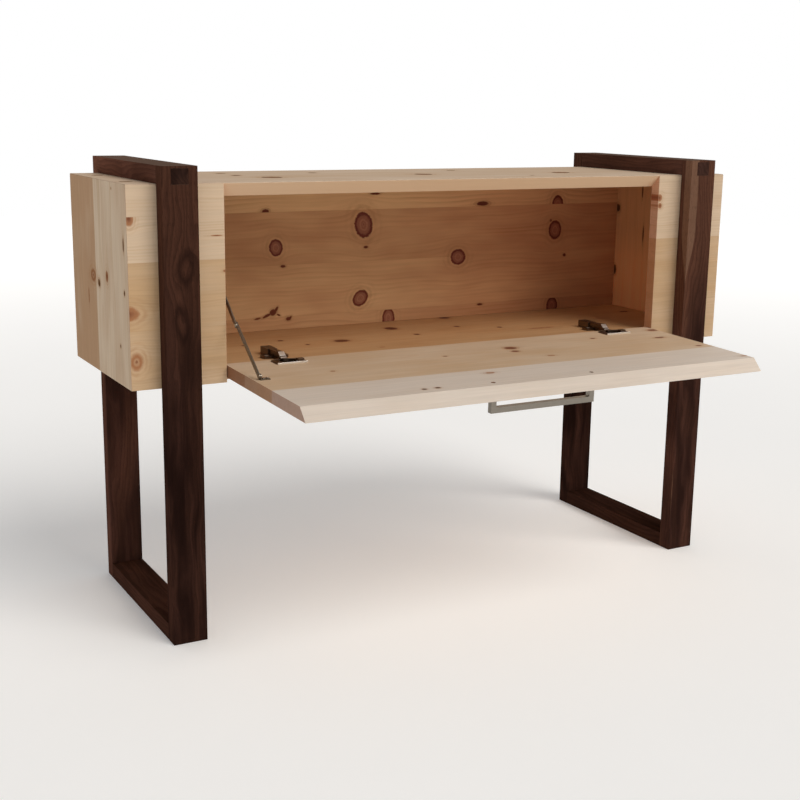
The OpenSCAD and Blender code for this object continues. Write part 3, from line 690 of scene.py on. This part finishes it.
def eased_outline(corners: np.ndarray, ease: float, steps: int) -> tuple[np.ndarray, np.ndarray, np.ndarray]:
    """Rounds the corners of an outline.

    Each corner is the arc of radius ease that touches both edges. Its centre lies in from the corner, and its
    points are the centre plus ease times a direction that turns from one edge's outward normal to the next's.

    Args:
        corners: (corners, 2) places, anticlockwise.
        ease: radius of the arcs.
        steps: steps along each arc.

    Returns:
        The points, their outward normals, and 1 inside each arc or 0 at its ends.
    """
    edges = np.roll(corners, -1, axis=0) - corners
    ways = edges / np.linalg.norm(edges, axis=1, keepdims=True)
    before = np.roll(ways, 1, axis=0)
    turn = np.arctan2(before[:, 0] * ways[:, 1] - before[:, 1] * ways[:, 0], (before * ways).sum(axis=1))
    outward = np.stack([before[:, 1], -before[:, 0]], axis=1)
    centres = corners - before * (ease * np.tan(turn / 2))[:, None] - outward * ease
    angle = turn[:, None] * np.linspace(0.0, 1.0, steps + 1)[None]
    cos, sin = np.cos(angle), np.sin(angle)
    normals = np.stack([cos * outward[:, :1] - sin * outward[:, 1:],
                        sin * outward[:, :1] + cos * outward[:, 1:]], axis=-1)
    points = centres[:, None] + ease * normals
    inside = np.broadcast_to(np.sin(np.linspace(0.0, math.pi, steps + 1)) > TINY, angle.shape)
    return points.reshape(-1, 2), normals.reshape(-1, 2), inside.reshape(-1).astype(float)


@dataclass(frozen=True)
class EndPlane:
    """The plane that ends a board: its distance along at outline place (0, 0), and how that grows with the place."""

    start: float
    by_first: float = 0.0
    by_second: float = 0.0

    def reach(self, points: np.ndarray) -> np.ndarray:
        """The distance along at each outline point."""
        return self.start + points @ np.array([self.by_first, self.by_second])


class Way(Enum):
    """What gives a board's x, y and z: 0 and 1 are its outline's first and second, and 2 is the distance along."""

    ALONG_X = (2, 0, 1)
    ALONG_Z = (0, 1, 2)


@dataclass(frozen=True)
class Board:
    """A straight piece of timber: an eased outline carried along its length between two end planes."""

    name: str
    way: Way
    corners: tuple[Pair, ...]
    low: EndPlane
    high: EndPlane
    ease: float = 0.9
    steps: int = 3

    def build(self) -> Piece:
        """Makes the piece. Near each end the outline draws in by ease times (1 - sin a) while it moves by
        ease times (1 - cos a), as a runs from 0 at the end to a quarter turn, so the end's edges are round too.

        Returns:
            The piece.
        """
        outline, normals, inside = eased_outline(np.array(self.corners), self.ease, self.steps)
        phase = np.linspace(0.0, math.pi / 2, self.steps + 1)
        inset = self.ease * (1.0 - np.sin(phase))
        depth = self.ease * (1.0 - np.cos(phase))
        drawn = outline[None] - inset[:, None, None] * normals[None]
        low, high = self.low.reach(drawn) + depth[:, None], self.high.reach(drawn) - depth[:, None]
        facing = np.sin(phase)[:, None, None] * normals[None]
        tilt = np.broadcast_to(np.cos(phase)[:, None], drawn.shape[:2])
        order = list(self.way.value)
        rings = np.dstack([np.concatenate([drawn, drawn[::-1]]), np.concatenate([low, high[::-1]])])[..., order]
        ways = np.dstack([np.concatenate([facing, facing[::-1]]), np.concatenate([-tilt, tilt[::-1]])])[..., order]
        rounded = np.tile(np.sin(2 * phase) > TINY, 2)[:, None]
        return loft(self.name, rings, ways, np.maximum(inside[None], rounded))


def eased_copy(frame: dict, node: str, width: float) -> Piece:
    """A copy of a construction node whose sharp edges are eased.

    The node's loose triangles are merged and its flat faces joined, and a Bevel modifier rounds what is left.

    Args:
        node: the node that the copy stands for.
        width: width of the easing in millimetres.

    Returns:
        The piece.
    """
    shape = bmesh.new()
    shape.from_mesh(frame["nodes"][node].data)
    bmesh.ops.remove_doubles(shape, verts=shape.verts, dist=MERGE_REACH * MM)
    bmesh.ops.dissolve_limit(shape, angle_limit=math.radians(FLAT_ANGLE), verts=shape.verts, edges=shape.edges)
    for face in shape.faces:
        face.smooth = True
    mesh = bpy.data.meshes.new(node + "_eased")
    shape.to_mesh(mesh)
    shape.free()
    return rounded_edges(linked(node + "_eased", mesh), width)


def rounded_edges(piece: Piece, width: float) -> Piece:
    """Gives a piece a Bevel modifier of that width in millimetres, and normals that keep its faces flat."""
    bevel = piece.modifiers.new("Eased edges", "BEVEL")
    bevel.width, bevel.segments = width * MM, EDGE_STEPS
    bevel.limit_method, bevel.angle_limit = "ANGLE", math.radians(EDGE_ANGLE)
    weighted = piece.modifiers.new("Even faces", "WEIGHTED_NORMAL")
    weighted.weight, weighted.keep_sharp = 100, False
    return piece


@dataclass(frozen=True)
class Bar:
    """A straight bar across the sideboard: its ends on x, its outline and whether it has a painted highlight.

    The outline's places are (y, z), anticlockwise seen from the bar's high end.
    """

    low: float
    high: float
    outline: np.ndarray
    # Whether the bar takes the second material, the painted highlight.
    painted_highlight: bool = False


def joined_bars(name: str, bars: list[Bar], width: float) -> Piece:
    """Makes one piece of several bars, each a prism: its outline at both ends, and a wall between them.

    Args:
        name: the piece's name.
        bars: the bars.
        width: how far the edges are eased, in millimetres.

    Returns:
        The piece. Bars with a painted highlight have its second material.
    """
    points, faces, polish = [], [], []
    for bar in bars:
        count, start = len(bar.outline), sum(len(block) for block in points)
        ends = np.repeat([bar.low, bar.high], count)[:, None]
        points.append(np.hstack([ends, np.tile(bar.outline, (2, 1))]) * MM)
        index = start + np.arange(count)
        ahead = np.roll(index, -1)
        faces += np.stack([index, ahead, ahead + count, index + count], axis=1).tolist()
        faces += [index[::-1].tolist(), (index + count).tolist()]
        polish += [int(bar.painted_highlight)] * (count + 2)
    mesh = bpy.data.meshes.new(name)
    mesh.from_pydata(np.vstack(points).tolist(), [], faces)
    mesh.polygons.foreach_set("material_index", np.array(polish, np.int32))
    mesh.polygons.foreach_set("use_smooth", np.ones(len(faces), bool))
    return rounded_edges(linked(name, mesh), width)


class Workshop:
    """Puts pieces on their bodies, dresses them and reports them."""

    def __init__(self, frame: dict) -> None:
        """Keeps the frame and, for each node, its body and its record slot."""
        self.frame = frame
        record = frame["record"]
        self.body_of = {n: body for body, group in record["behaviour"]["bodies"].items() for n in group}
        self.slot_of = {row["node"]: row["material_slot"] for row in record["subparts"]}

    def place(self, piece: Piece, node: str, *materials: Material) -> None:
        """Lets a piece stand for a node, on the node's body, and gives it its materials."""
        for material in materials:
            piece.data.materials.append(material)
        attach(piece, self.body_of[node])
        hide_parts(node)
        log.info("%s stands for %s, in %s", piece.name, node, materials[0].name)

    def ease(self, node: str, width: float, material: Material) -> None:
        """Places an eased copy of a node."""
        self.place(eased_copy(self.frame, node, width), node, material)


def box_mm(node: str) -> tuple[np.ndarray, np.ndarray]:
    """Lowest and highest corner of a node, in millimetres."""
    low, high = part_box(node)
    return np.array(low) / MM, np.array(high) / MM


# ---- Sub-assemblies ----


@dataclass
class LoopFrames:
    """The two walnut loop frames, each of two posts and two rails."""

    ease: float = 0.8
    sap_reach: float = 21.0
    end_tone: float = 1.25
    # Painted sheen on the faces that look up, on all but the bottom rails.
    top_painted_sheen: float = 0.75
    post_pale: Pair = (0.75, 420.0)
    rail_pale: Pair = (0.3, -400.0)
    side_seed: float = 3.7
    place_seed: float = 1.3
    eyes: tuple[Knot, ...] = (Knot(700, 40, 10, 1.9, slant=8), Knot(600, 30, 8, 2.6, slant=-6))
    # How much lighter or darker each timber is made: partly its own tone, and partly painted light and sheen.
    tone_and_light_lifts: dict[str, float] = field(default_factory=lambda: {
        "left_front_post": 0.9, "left_rear_post": 1.9, "left_top_rail": 2.2, "left_bottom_rail": 1.2,
        "right_front_post": 1.3, "right_rear_post": 0.78, "right_top_rail": 1.7, "right_bottom_rail": 0.62})
    tenon_tones: dict[str, float] = field(default_factory=lambda: {"left_top_rail": 0.6, "right_top_rail": 1.15})

    def build(self, shop: Workshop) -> None:
        """Dresses the eight timbers, each with the grain along it."""
        for number, side in enumerate(("left", "right")):
            for place in ("front_post", "rear_post", "top_rail", "bottom_rail"):
                node = f"{side}_{place}"
                low = tuple(box_mm(node)[0])
                upright = place.endswith("post")
                ways = ((0, 0, 1), (1, 0, 0), (0, 1, 0)) if upright else ((0, 1, 0), (1, 0, 0), (0, 0, 1))
                paleness, pale_from = self.post_pale if upright else self.rail_pale
                shop.ease(node, self.ease, WalnutFinish(
                    f"Walnut {node}", Grain(low, *ways), seed=number * self.side_seed + len(place) * self.place_seed,
                    eyes=self.eyes if node == "left_front_post" else (),
                    sap_reach=self.sap_reach if node == "right_front_post" else 0.0,
                    paleness=paleness, pale_from=pale_from, lift=self.tone_and_light_lifts[node],
                    end_tone=self.tenon_tones.get(node, self.end_tone),
                    top_painted_sheen=0.0 if place == "bottom_rail" else self.top_painted_sheen).material())


@dataclass
class Case:
    """The mitred pine case: top, floor, back, ends and front panels."""

    board: float = 25.0
    floor_board: float = 27.0
    ease: float = 0.9
    floor_ease: float = 0.6

    def build(self, shop: Workshop) -> None:
        """Builds and dresses the seven boards."""
        top_high = box_mm("case_top")[1]
        panel_low, panel_high = box_mm("left_front_panel")
        rear, front = top_high[1], panel_low[1]
        end, top, under = top_high[0], top_high[2], panel_low[2]
        opening, inner_floor = -panel_high[0], under + self.floor_board
        t = self.board
        along_x = dict(along=(1, 0, 0), across=(0, 0, 1), through=(0, 1, 0))
        upright = dict(along=(0, 0, 1), across=(0, 1, 0), through=(1, 0, 0))
        flat = dict(along=(1, 0, 0), across=(0, 1, 0), through=(0, 0, -1))

        piece = Board("top_board", Way.ALONG_X,
                      ((front, top), (front + t, top - t), (rear, top - t), (rear, top)),
                      EndPlane(-end + top, 0.0, -1.0), EndPlane(end - top, 0.0, 1.0), self.ease).build()
        # The top's mitred front edge is lightened with painted light.
        shop.place(piece, "case_top", PineFinish(
            "Pine top", Grain((0, 0, top), **flat), TOP_KNOTS, seams=(-66.0, 58.0), warmths=(0.25, 0.4, 0.3),
            tones=SAND, seed=1.0, contrast=0.3, mitre_painted_light=0.8, gloss=0.0).material())

        piece = Board("back_board", Way.ALONG_X,
                      ((rear - t, inner_floor), (rear, inner_floor), (rear, top - t), (rear - t, top - t)),
                      EndPlane(-end + t), EndPlane(end - t), self.ease).build()
        # Painted shade: the back's inner face grows darker and redder towards the right, where the case shades it.
        shop.place(piece, "case_back", PineFinish(
            "Pine back", Grain((0, rear - t, 0), **along_x), BACK_KNOTS, seams=(536.0, 648.0, 760.0),
            warmths=(0.85, 0.6, 0.8, 0.0), tones=AMBER_INSIDE_SHADE, seed=2.0, ring_gap=9.0,
            shift=(-40.0, 400.0, (0.87, 0.70, 0.66)), painted_inside_limit=(11.0, 14.0)).material())

        for side, node, knots in ((-1, "left_front_panel", LEFT_PANEL_KNOTS),
                                  (1, "right_front_panel", RIGHT_PANEL_KNOTS)):
            planes = [EndPlane(side * (end + front), -side * 1.0), EndPlane(side * opening)]
            piece = Board(node.replace("panel", "board"), Way.ALONG_X,
                          ((front, under), (front + t, under), (front + t, top - t), (front, top)),
                          *planes[::-side], self.ease).build()
            shop.place(piece, node, PineFinish(
                f"Pine {node}", Grain((0, front, 0), **along_x), knots, seams=(589.0, 709.0),
                warmths=(0.75, 0.85, 0.0), seed=3.0 + side, contrast=0.34, end_tint=(1.15, 0.87, 0.81)).material())

        ends = ((-1, "left_end", ((-end, rear), (-end, front), (-end + t, front + t), (-end + t, rear)),
                 LEFT_END_KNOTS, dict(tones=HONEY, gloss=0.0)),
                # Painted light: the right end's inner face is made lighter lower down.
                (1, "right_end", ((end, front), (end, rear), (end - t, rear), (end - t, front + t)), RIGHT_END_KNOTS,
                 dict(tones=BRONZE_INSIDE_BOUNCE, shift=(720.0, 560.0, (1.5, 1.42, 1.33)), painted_inside_limit=(-14.0, -11.0))))
        for side, node, corners, knots, looks in ends:
            piece = Board(node + "_board", Way.ALONG_Z, corners, EndPlane(under),
                          EndPlane(top - end, side * 1.0), self.ease).build()
            shop.place(piece, node, PineFinish(
                f"Pine {node}", Grain((side * end, 0, 0), **upright), knots, seams=(-168.0, -86.0, 20.0),
                warmths=(0.3, 0.15, 0.1, 1.0), seed=6.0 + side, **looks).material())

        shop.ease("case_floor", self.floor_ease, PineFinish(
            "Pine floor", Grain((0, 0, inner_floor), **flat), FLOOR_KNOTS, seams=(-62.0, 48.0),
            warmths=(0.3, 0.5, 0.55), tones=OCHRE_INSIDE_SHADE, seed=9.0, contrast=0.3,
            shift=(400.0, 620.0, (1.28, 1.4, 1.5))).material())


@dataclass
class Flap:
    """The drop-down flap of three glued boards."""

    ease: float = 0.5
    lift: tuple[float, float, Triple] = (0.0, 450.0, (1.1, 1.1, 1.1))

    def build(self, shop: Workshop) -> None:
        """Dresses the three boards, whose measures run out from the flap's inner edge."""
        grain = Grain((0.0, *FLAP_EDGE), (1, 0, 0), (0, -DROOP_COS, -DROOP_SIN), (0, DROOP_SIN, -DROOP_COS))
        boards = (("flap_rear_board", FLAP_REAR_KNOTS, ROSE, 0.3, 12.0, 0.25, (0.61, 0.40, 0.31)),
                  ("flap_middle_board", FLAP_MIDDLE_KNOTS, ROSE, 0.4, 13.0, 0.3, (0.69, 0.53, 0.46)),
                  ("flap_front_board", FLAP_FRONT_KNOTS, ASH, 0.1, 14.0, 0.16, (0.67, 0.51, 0.45)))
        for node, knots, tones, warmth, seed, contrast, tint in boards:
            shop.ease(node, self.ease, PineFinish(f"Pine {node}", grain, knots, warmths=(warmth,), tones=tones,
                                                  seed=seed, contrast=contrast, end_tint=tint,
                                                  shift=self.lift).material())


@dataclass
class Hinge:
    """The visible parts of one concealed hinge: its arm with a slanted end, and its cup's flange with a well."""

    side: str
    slant_top: Pair = (-153.6, 525.8)
    slant_foot: Pair = (-162.6, 519.4)
    pin: Pair = (11.8, -17.4)
    well_radius: float = 17.0
    cup_radius: float = 17.5
    cup_depth: float = 21.4
    cup_mid: float = 24.0
    cup_floor: float = 0.8
    flange: float = 2.0
    flange_half: float = 17.75
    flange_forward: float = 2.75
    housing_length: float = 36.0
    housing_floor: float = 510.6
    neck_floor: float = 514.2
    half_widths: tuple[float, ...] = (10.0, 6.6, 6.3, 6.0, 5.3)
    fold: tuple[Pair, ...] = ((43.4, 45.4), (0.1, 3.5))
    fold_inset: float = 1.2
    block: tuple[Pair, ...] = ((19.0, 29.0), (1.0, 4.6))
    block_width: float = 13.5
    cheek_reach: float = 3.5
    cheek_span: Pair = (6.2, 8.2)
    ease: float = 0.3

    def on_flap(self, outline: np.ndarray) -> np.ndarray:
        """Turns (out along the flap, up from its face) places into (y, z) places."""
        return np.array(FLAP_EDGE) + outline @ np.array([[-DROOP_COS, -DROOP_SIN], [-DROOP_SIN, DROOP_COS]])

    def box(self, out: Pair, up: Pair) -> np.ndarray:
        """The outline of a bar with a rectangular section that lies on the flap."""
        return self.on_flap(np.array([(out[0], up[0]), (out[0], up[1]), (out[1], up[1]), (out[1], up[0])]))

    def arm(self, low: np.ndarray, high: np.ndarray) -> Piece:
        """The arm: a wide housing, a narrower neck, its slanted end and a lip with a painted highlight, and the nose
        under it.

        The outlines and half_widths are both in this order.

        Args:
            low: the lowest corner of the arm's node.
            high: its highest corner.

        Returns:
            The piece.
        """
        middle, rear, roof, base = (low[0] + high[0]) / 2, high[1], high[2], low[2]
        crown, foot, step = self.slant_top, self.slant_foot, rear - self.housing_length
        outlines = (
            ((rear, self.housing_floor), (rear, roof - 2), (step, roof - 2), (step, self.housing_floor)),
            ((step + 1, self.neck_floor), (step + 1, roof - 2), (-146.0, roof - 1.6), (crown[0] + 0.8, roof),
             (foot[0] + 0.8, foot[1]), (-165.2, 516.9), (-161.0, 515.2), (-149.0, self.neck_floor)),
            ((crown[0] + 1, crown[1]), crown, foot, (foot[0] + 1, foot[1] - 0.8)),
            ((-165.2, 517.3), (-165.8, 517.8), (-169.3, 515.2), (-168.7, 514.4)),
            ((-160.0, 514.9), (-163.0, 516.4), (-177.2, 516.4), (-178.0, base + 1), (-177.0, base),
             (-173.6, base), (-172.7, base + 1), (-172.6, self.neck_floor)))
        bars = [Bar(middle - half, middle + half, np.array(outline), painted_highlight) for half, outline, painted_highlight in
                zip(self.half_widths, outlines, (False, False, True, True, False))]
        return joined_bars(f"{self.side}_arm_housing", bars, self.ease)

    def trim(self, low: np.ndarray, high: np.ndarray) -> Piece:
        """The flange's front fold with a painted highlight, the raised block at its right end, and the pin's two cheeks
        in the well.
        """
        left, middle, right = low[0] + self.fold_inset, (low[0] + high[0]) / 2, high[0]
        near, far = self.cheek_span
        cheek = self.box((self.pin[0] - self.cheek_reach, self.pin[0] + self.cheek_reach),
                         (1 - self.cup_depth, self.pin[1] + self.cheek_reach))
        bars = [Bar(left, right, self.box(*self.fold), True),
                Bar(right - self.block_width, right, self.box(*self.block)),
                Bar(middle - far, middle - near, cheek), Bar(middle + near, middle + far, cheek)]
        return joined_bars(f"{self.side}_flange_trim", bars, self.ease)

    def cup(self, low: np.ndarray, high: np.ndarray) -> Piece:
        """The cup: a plate with a round well over a round body.

        Every ring has the same angles a. A round ring is r (cos a, sin a). The plate's ring is its half sizes
        times (cos a, sin a) over the eighth root of the sum of their eighth powers, a rectangle with round corners.

        Args:
            low: the lowest corner of the cup's node.
            high: its highest corner.

        Returns:
            The piece.
        """
        angle = np.linspace(0.0, 2 * math.pi, CIRCLE_STEPS, endpoint=False)
        circle = np.stack([np.cos(angle), np.sin(angle)], axis=1)
        square = circle / (circle ** 8).sum(axis=1, keepdims=True) ** 0.125
        half = np.array([(high[0] - low[0]) / 2, self.flange_half])
        forward = self.cup_mid + self.flange_forward
        well, roof, ease = self.well_radius, self.flange, self.ease
        outward, level = 1.0, 0.0
        floor = self.cup_floor - self.cup_depth
        rows = [(circle * self.cup_radius, self.cup_mid, -self.cup_depth, outward, level),
                (circle * self.cup_radius, self.cup_mid, 0.0, outward, level),
                (square * half, forward, 0.0, outward, level), (square * half, forward, roof - ease, outward, level),
                (square * (half - ease), forward, roof, level, 1.0),
                (circle * (well + ease), self.cup_mid, roof, level, 1.0),
                (circle * well, self.cup_mid, roof - ease, -outward, level),
                (circle * well, self.cup_mid, floor, -outward, level),
                (circle * (well - 0.2), self.cup_mid, floor, level, 1.0)]
        rings, normals = [], []
        for flat, middle, up, away, upright in rows:
            place = self.on_flap(np.stack([middle - flat[:, 1], np.full(len(flat), up)], axis=1))
            rings.append(np.column_stack([(low[0] + high[0]) / 2 + flat[:, 0], place]))
            normals.append(np.column_stack([circle * away, np.full(len(flat), upright)]))
        return loft(f"{self.side}_cup_plate", np.array(rings), np.array(normals), np.zeros((len(rows), len(angle))))


@dataclass
class Hardware:
    """The handle, the two hinges and the stay."""

    ease: float = 0.35
    handle_ease: float = 0.8

    def build(self, shop: Workshop) -> None:
        """Dresses every metal node and builds what shows of the hinges."""
        lines, grained, plain = (0.05, 3.0, 3.0), (0.4, 1.5, 1.5), (1.2, 1.2, 1.2)
        brushed = MetalFinish("Brushed handle", (0.277, 0.247, 0.208), lines).material()
        # The hinges' nickel is painted in two tones: dark brown, a painted reflection of the dark inside of the case,
        # and near white, a painted highlight on the faces that look to the front.
        dark_reflection_nickel, painted_highlight, bronzed, steel, zinc = (
            MetalFinish(name, colour, brush, rough, share).material() for name, colour, brush, rough, share in (
                ("Nickel with painted dark reflection", (0.15, 0.105, 0.075), grained, 0.36, 0.06),
                ("Nickel with painted highlight", (0.97, 0.95, 0.91), grained, 0.36, 0.06),
                ("Dulled nickel", (0.22, 0.185, 0.15), (1.0, 1.0, 1.0), 0.34, 0.06),
                ("Plain steel", (0.42, 0.38, 0.33), plain, 0.26, 0.05),
                ("Bright zinc", (0.86, 0.80, 0.72), plain, 0.48, 0.05)))
        for side in ("left", "right"):
            hinge = Hinge(side)
            arm, cup = f"{side}_hinge_arm", f"{side}_hinge_cup"
            shop.place(hinge.arm(*box_mm(arm)), arm, dark_reflection_nickel, painted_highlight)
            shop.place(hinge.cup(*box_mm(cup)), cup, dark_reflection_nickel)
            shop.place(hinge.trim(*box_mm(cup)), cup, dark_reflection_nickel, painted_highlight)
        for node, slot in sorted(shop.slot_of.items()):
            if slot == "screw_steel":
                shop.ease(node, self.ease, zinc if node.endswith(("plate_screws", "arm_screws")) else steel)
            elif node == "handle":
                shop.ease(node, self.handle_ease, brushed)
            elif node.startswith("stay"):
                shop.ease(node, self.ease, bronzed)
            # The hinge plates take the painted dark reflection too.
            elif node.endswith("hinge_plate"):
                shop.ease(node, self.ease, dark_reflection_nickel)


# ---- Knots ----


def knots(**rows: tuple[tuple, ...]) -> tuple[Knot, ...]:
    """Knots from rows for each kind of wood: along, across, radius, then length, slant, cut and seam if need be."""
    return tuple(Knot(*row, wood=Knotwood[kind.upper()]) for kind, group in rows.items() for row in group)


TOP_KNOTS = knots(
    hearted=((-393, 104, 9, 1.1), (-346, -47, 17, 1.2), (3, -21, 17, 1.1), (142, 101, 9, 1.1), (341, -34, 18, 1.15),
             (-643, 99, 10, 1.2), (-651, -108, 9, 1.4)),
    dark=((-389, 30, 9), (-201, 82, 8, 1.1), (211, -114, 4)))
BACK_KNOTS = knots(
    hearted=((-44, 727, 28, 0.76, 10), (-252, 685, 18, 0.85, 6), (-51, 566, 16, 1.25, 40),
             (20, 516, 24, 0.63, 0, Cut.BELOW, 536), (199, 646, 17.5, 1.1), (467, 699, 22, 0.8),
             (472, 760, 20, 0.78, 0, Cut.ABOVE, 760), (466, 518, 20, 0.78, 0, Cut.BELOW, 536)),
    dark=((454, 722, 2.8), (497, 638, 3.6, 1.2), (-236, 645, 3, 2), (-38, 678, 2.8, 2), (261, 533, 2.5, 2.8),
          (-224, 531, 4, 1.4), (-260, 547, 7, 1.2, 30), (-274, 541, 3, 3.6, 24), (-295, 536, 2, 3.8, 8),
          (-252, 554, 3, 2, 55), (-247, 541, 1.8, 2.6, -24), (-220, 533, 2.4, 2, 50),
          (-275, 761, 6, 1.4, 0, Cut.ABOVE, 760), (262, 766, 5, 3.2), (-16, 794, 2.6, 4.6)))
LEFT_PANEL_KNOTS = knots(
    soft=((-664, 534, 17, 0.75),),
    tan=((-670, 787, 14, 0.6, 0, Cut.BELOW, 789), (-681, 620, 14, 1.8), (-511, 752, 1.3, 9), (-496, 688, 2.4, 1.6)))
RIGHT_PANEL_KNOTS = knots(
    tan=((498, 797, 8, 0.9), (500, 780, 6, 0.9)))
LEFT_END_KNOTS = knots(
    soft=((663, 39, 19, 0.72), (620, 75, 3.4, 5), (833, -97, 2.4)),
    tan=((671, -52, 8, 1.35),),
    dark=((653, 1, 7), (739, -160, 3, 4), (654, -158, 3.6, 1.3), (554, -124, 2.6, 1.2)))
RIGHT_END_KNOTS = knots(
    dark=((747, 152, 7, 1.4), (597, 155, 6, 1.9), (793, 63, 2, 8), (691, 53, 2, 9.5)))
FLOOR_KNOTS = knots(
    soft=((288, -58, 8, 4.8), (-138, -115, 4, 1.7)),
    dark=((-19, 71, 16, 0.85), (-182, -18, 13, 1.25), (-263, -28, 5, 0.9), (-296, 34, 6), (-3, -15, 7, 0.9),
          (-385, 14, 4.5, 0.9), (160, 147, 12, 1.1), (126, 34, 7, 0.9), (208, -12, 6, 0.9), (604, 53, 6, 2.1)))
FLAP_REAR_KNOTS = knots(
    dark=((484, 36, 8.5, 1.5), (303, 61, 4, 1.4), (85, 79, 10.5, 1.25), (-77, 96, 3, 1.5)))
FLAP_MIDDLE_KNOTS = knots(
    soft=((122, 168, 5, 1.9), (-334, 129, 4.5, 1.2)),
    dark=((445, 105, 6.5, 1.9), (77, 108, 6.5, 1.25), (467, 204, 4, 1.6)))
FLAP_FRONT_KNOTS = knots(
    soft=((-72, 250, 6, 1.7), (489, 317, 4, 3.5)),
    dark=((-247, 313, 4, 1.1), (-220, 313, 4.2, 1.2)))


# ---- Studio ----


@dataclass
class Studio:
    """The pale floor, the soft light and the camera at the photograph's angle."""

    photo_side: float = 800.0
    place: Triple = (-1330.0219, -2362.8184, 986.7307)
    yaw: float = -0.5089
    pitch: float = -0.22312
    roll: float = 0.01497
    focal_px: float = 1287.084
    middle_px: Pair = (408.687, 395.713)
    sensor: float = 36.0
    clip: Pair = (0.05, 60.0)
    floor_radius: float = 9000.0
    floor_rings: tuple[float, ...] = (1.0, 0.25, 0.02)
    floor_tone: float = 0.92
    floor_speck: float = 0.02
    floor_glow: float = 0.16
    far_glow: float = 0.42
    zenith_loss: float = 0.6
    front_share: float = 0.52
    left_loss: float = 0.3
    key_power: float = 1.75
    key_width: float = 40.0
    key_colour: Triple = (1.0, 0.96, 0.9)
    key_turn: float = 26.0
    key_rise: float = 44.0

    def build(self) -> None:
        """Sets up everything round the sideboard."""
        self._floor()
        self._light()
        self._camera()
        bpy.context.scene.view_settings.view_transform = "Standard"

    def _floor(self) -> None:
        """A wide flat disc under the feet: rings of points whose radius grows, all at height 0."""
        angle = np.linspace(0.0, 2 * math.pi, CIRCLE_STEPS, endpoint=False)
        radius = np.array(self.floor_rings)[:, None] * self.floor_radius
        rings = np.stack([radius * np.cos(angle), radius * np.sin(angle), radius * 0.0 * angle], axis=-1)
        upward = np.broadcast_to((0.0, 0.0, 1.0), rings.shape)
        piece = loft("studio_floor", rings, upward, np.zeros(rings.shape[:2]), closed=False)
        g = Graph(bpy.data.materials.new("Pale floor"))
        place = g.coordinate("Object")
        away = g.smooth(g.vector("LENGTH", place), 1.2, 7.0)
        speck = g.noise(g.scaled(place, 3.0), 3.0)
        piece.data.materials.append(g.finish(
            g.grey(self.floor_tone + (speck - 0.5) * self.floor_speck), 0.9, speck, 0.01, Specular_IOR_Level=0.1,
            Emission_Color=g.grey(self.floor_glow + away * (self.far_glow - self.floor_glow)), Emission_Strength=1.0))

    def _light(self) -> None:
        """A white sky that dims overhead and ahead of the flap, and one wide soft light from the front right."""
        world = bpy.data.worlds.new("Studio")
        g = Graph(world)
        way = g.coordinate("Generated")
        upward, behind, leftward = (g.dot(way, axis) for axis in ((0.0, 0.0, 1.0), (0.0, 1.0, 0.0), (-1.0, 0.0, 0.0)))
        tone = (1.0 - g.smooth(upward, 0.1, 0.7) * self.zenith_loss) * \
            (1.0 - g.smooth(leftward, 0.1, 0.8) * self.left_loss) * \
            (self.front_share + g.smooth(behind, -0.6, 0.5) * (1.0 - self.front_share))
        shine = g.node("ShaderNodeBackground", None, {"Color": g.grey(tone)})
        g.node("ShaderNodeOutputWorld", None, {"Surface": shine.outputs[0]})
        bpy.context.scene.world = world

        lamp = bpy.data.lights.new("key_light", "SUN")
        lamp.energy, lamp.angle, lamp.color = self.key_power, math.radians(self.key_width), self.key_colour
        light = linked("key_light", lamp)
        light.rotation_euler = math.radians(90.0 - self.key_rise), 0.0, math.radians(self.key_turn)

    def _camera(self) -> None:
        """The camera that the photograph's corners give: a place, three angles, a focal length and a small shift."""
        lens = bpy.data.cameras.new("photo_camera")
        lens.sensor_width = self.sensor
        lens.lens = self.focal_px / self.photo_side * self.sensor
        lens.shift_x = 0.5 - self.middle_px[0] / self.photo_side
        lens.shift_y = self.middle_px[1] / self.photo_side - 0.5
        lens.clip_start, lens.clip_end = self.clip
        camera = linked("photo_camera", lens)
        turns = ((self.yaw, "Z"), (math.pi / 2 + self.pitch, "X"), (self.roll, "Z"))
        yaw, pitch, roll = (Matrix.Rotation(angle, 4, axis) for angle, axis in turns)
        camera.matrix_world = Matrix.Translation([distance * MM for distance in self.place]) @ yaw @ pitch @ roll
        bpy.context.scene.camera = camera


def main() -> None:
    """Builds the sideboard's looks and the studio."""
    logging.basicConfig(level=logging.INFO, format="%(name)s: %(message)s")
    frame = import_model()
    shop = Workshop(frame)
    for assembly in (LoopFrames(), Case(), Flap(), Hardware()):
        assembly.build(shop)
        log.info("%s is built", type(assembly).__name__)
    Studio().build()


if __name__ == "__main__":
    main()
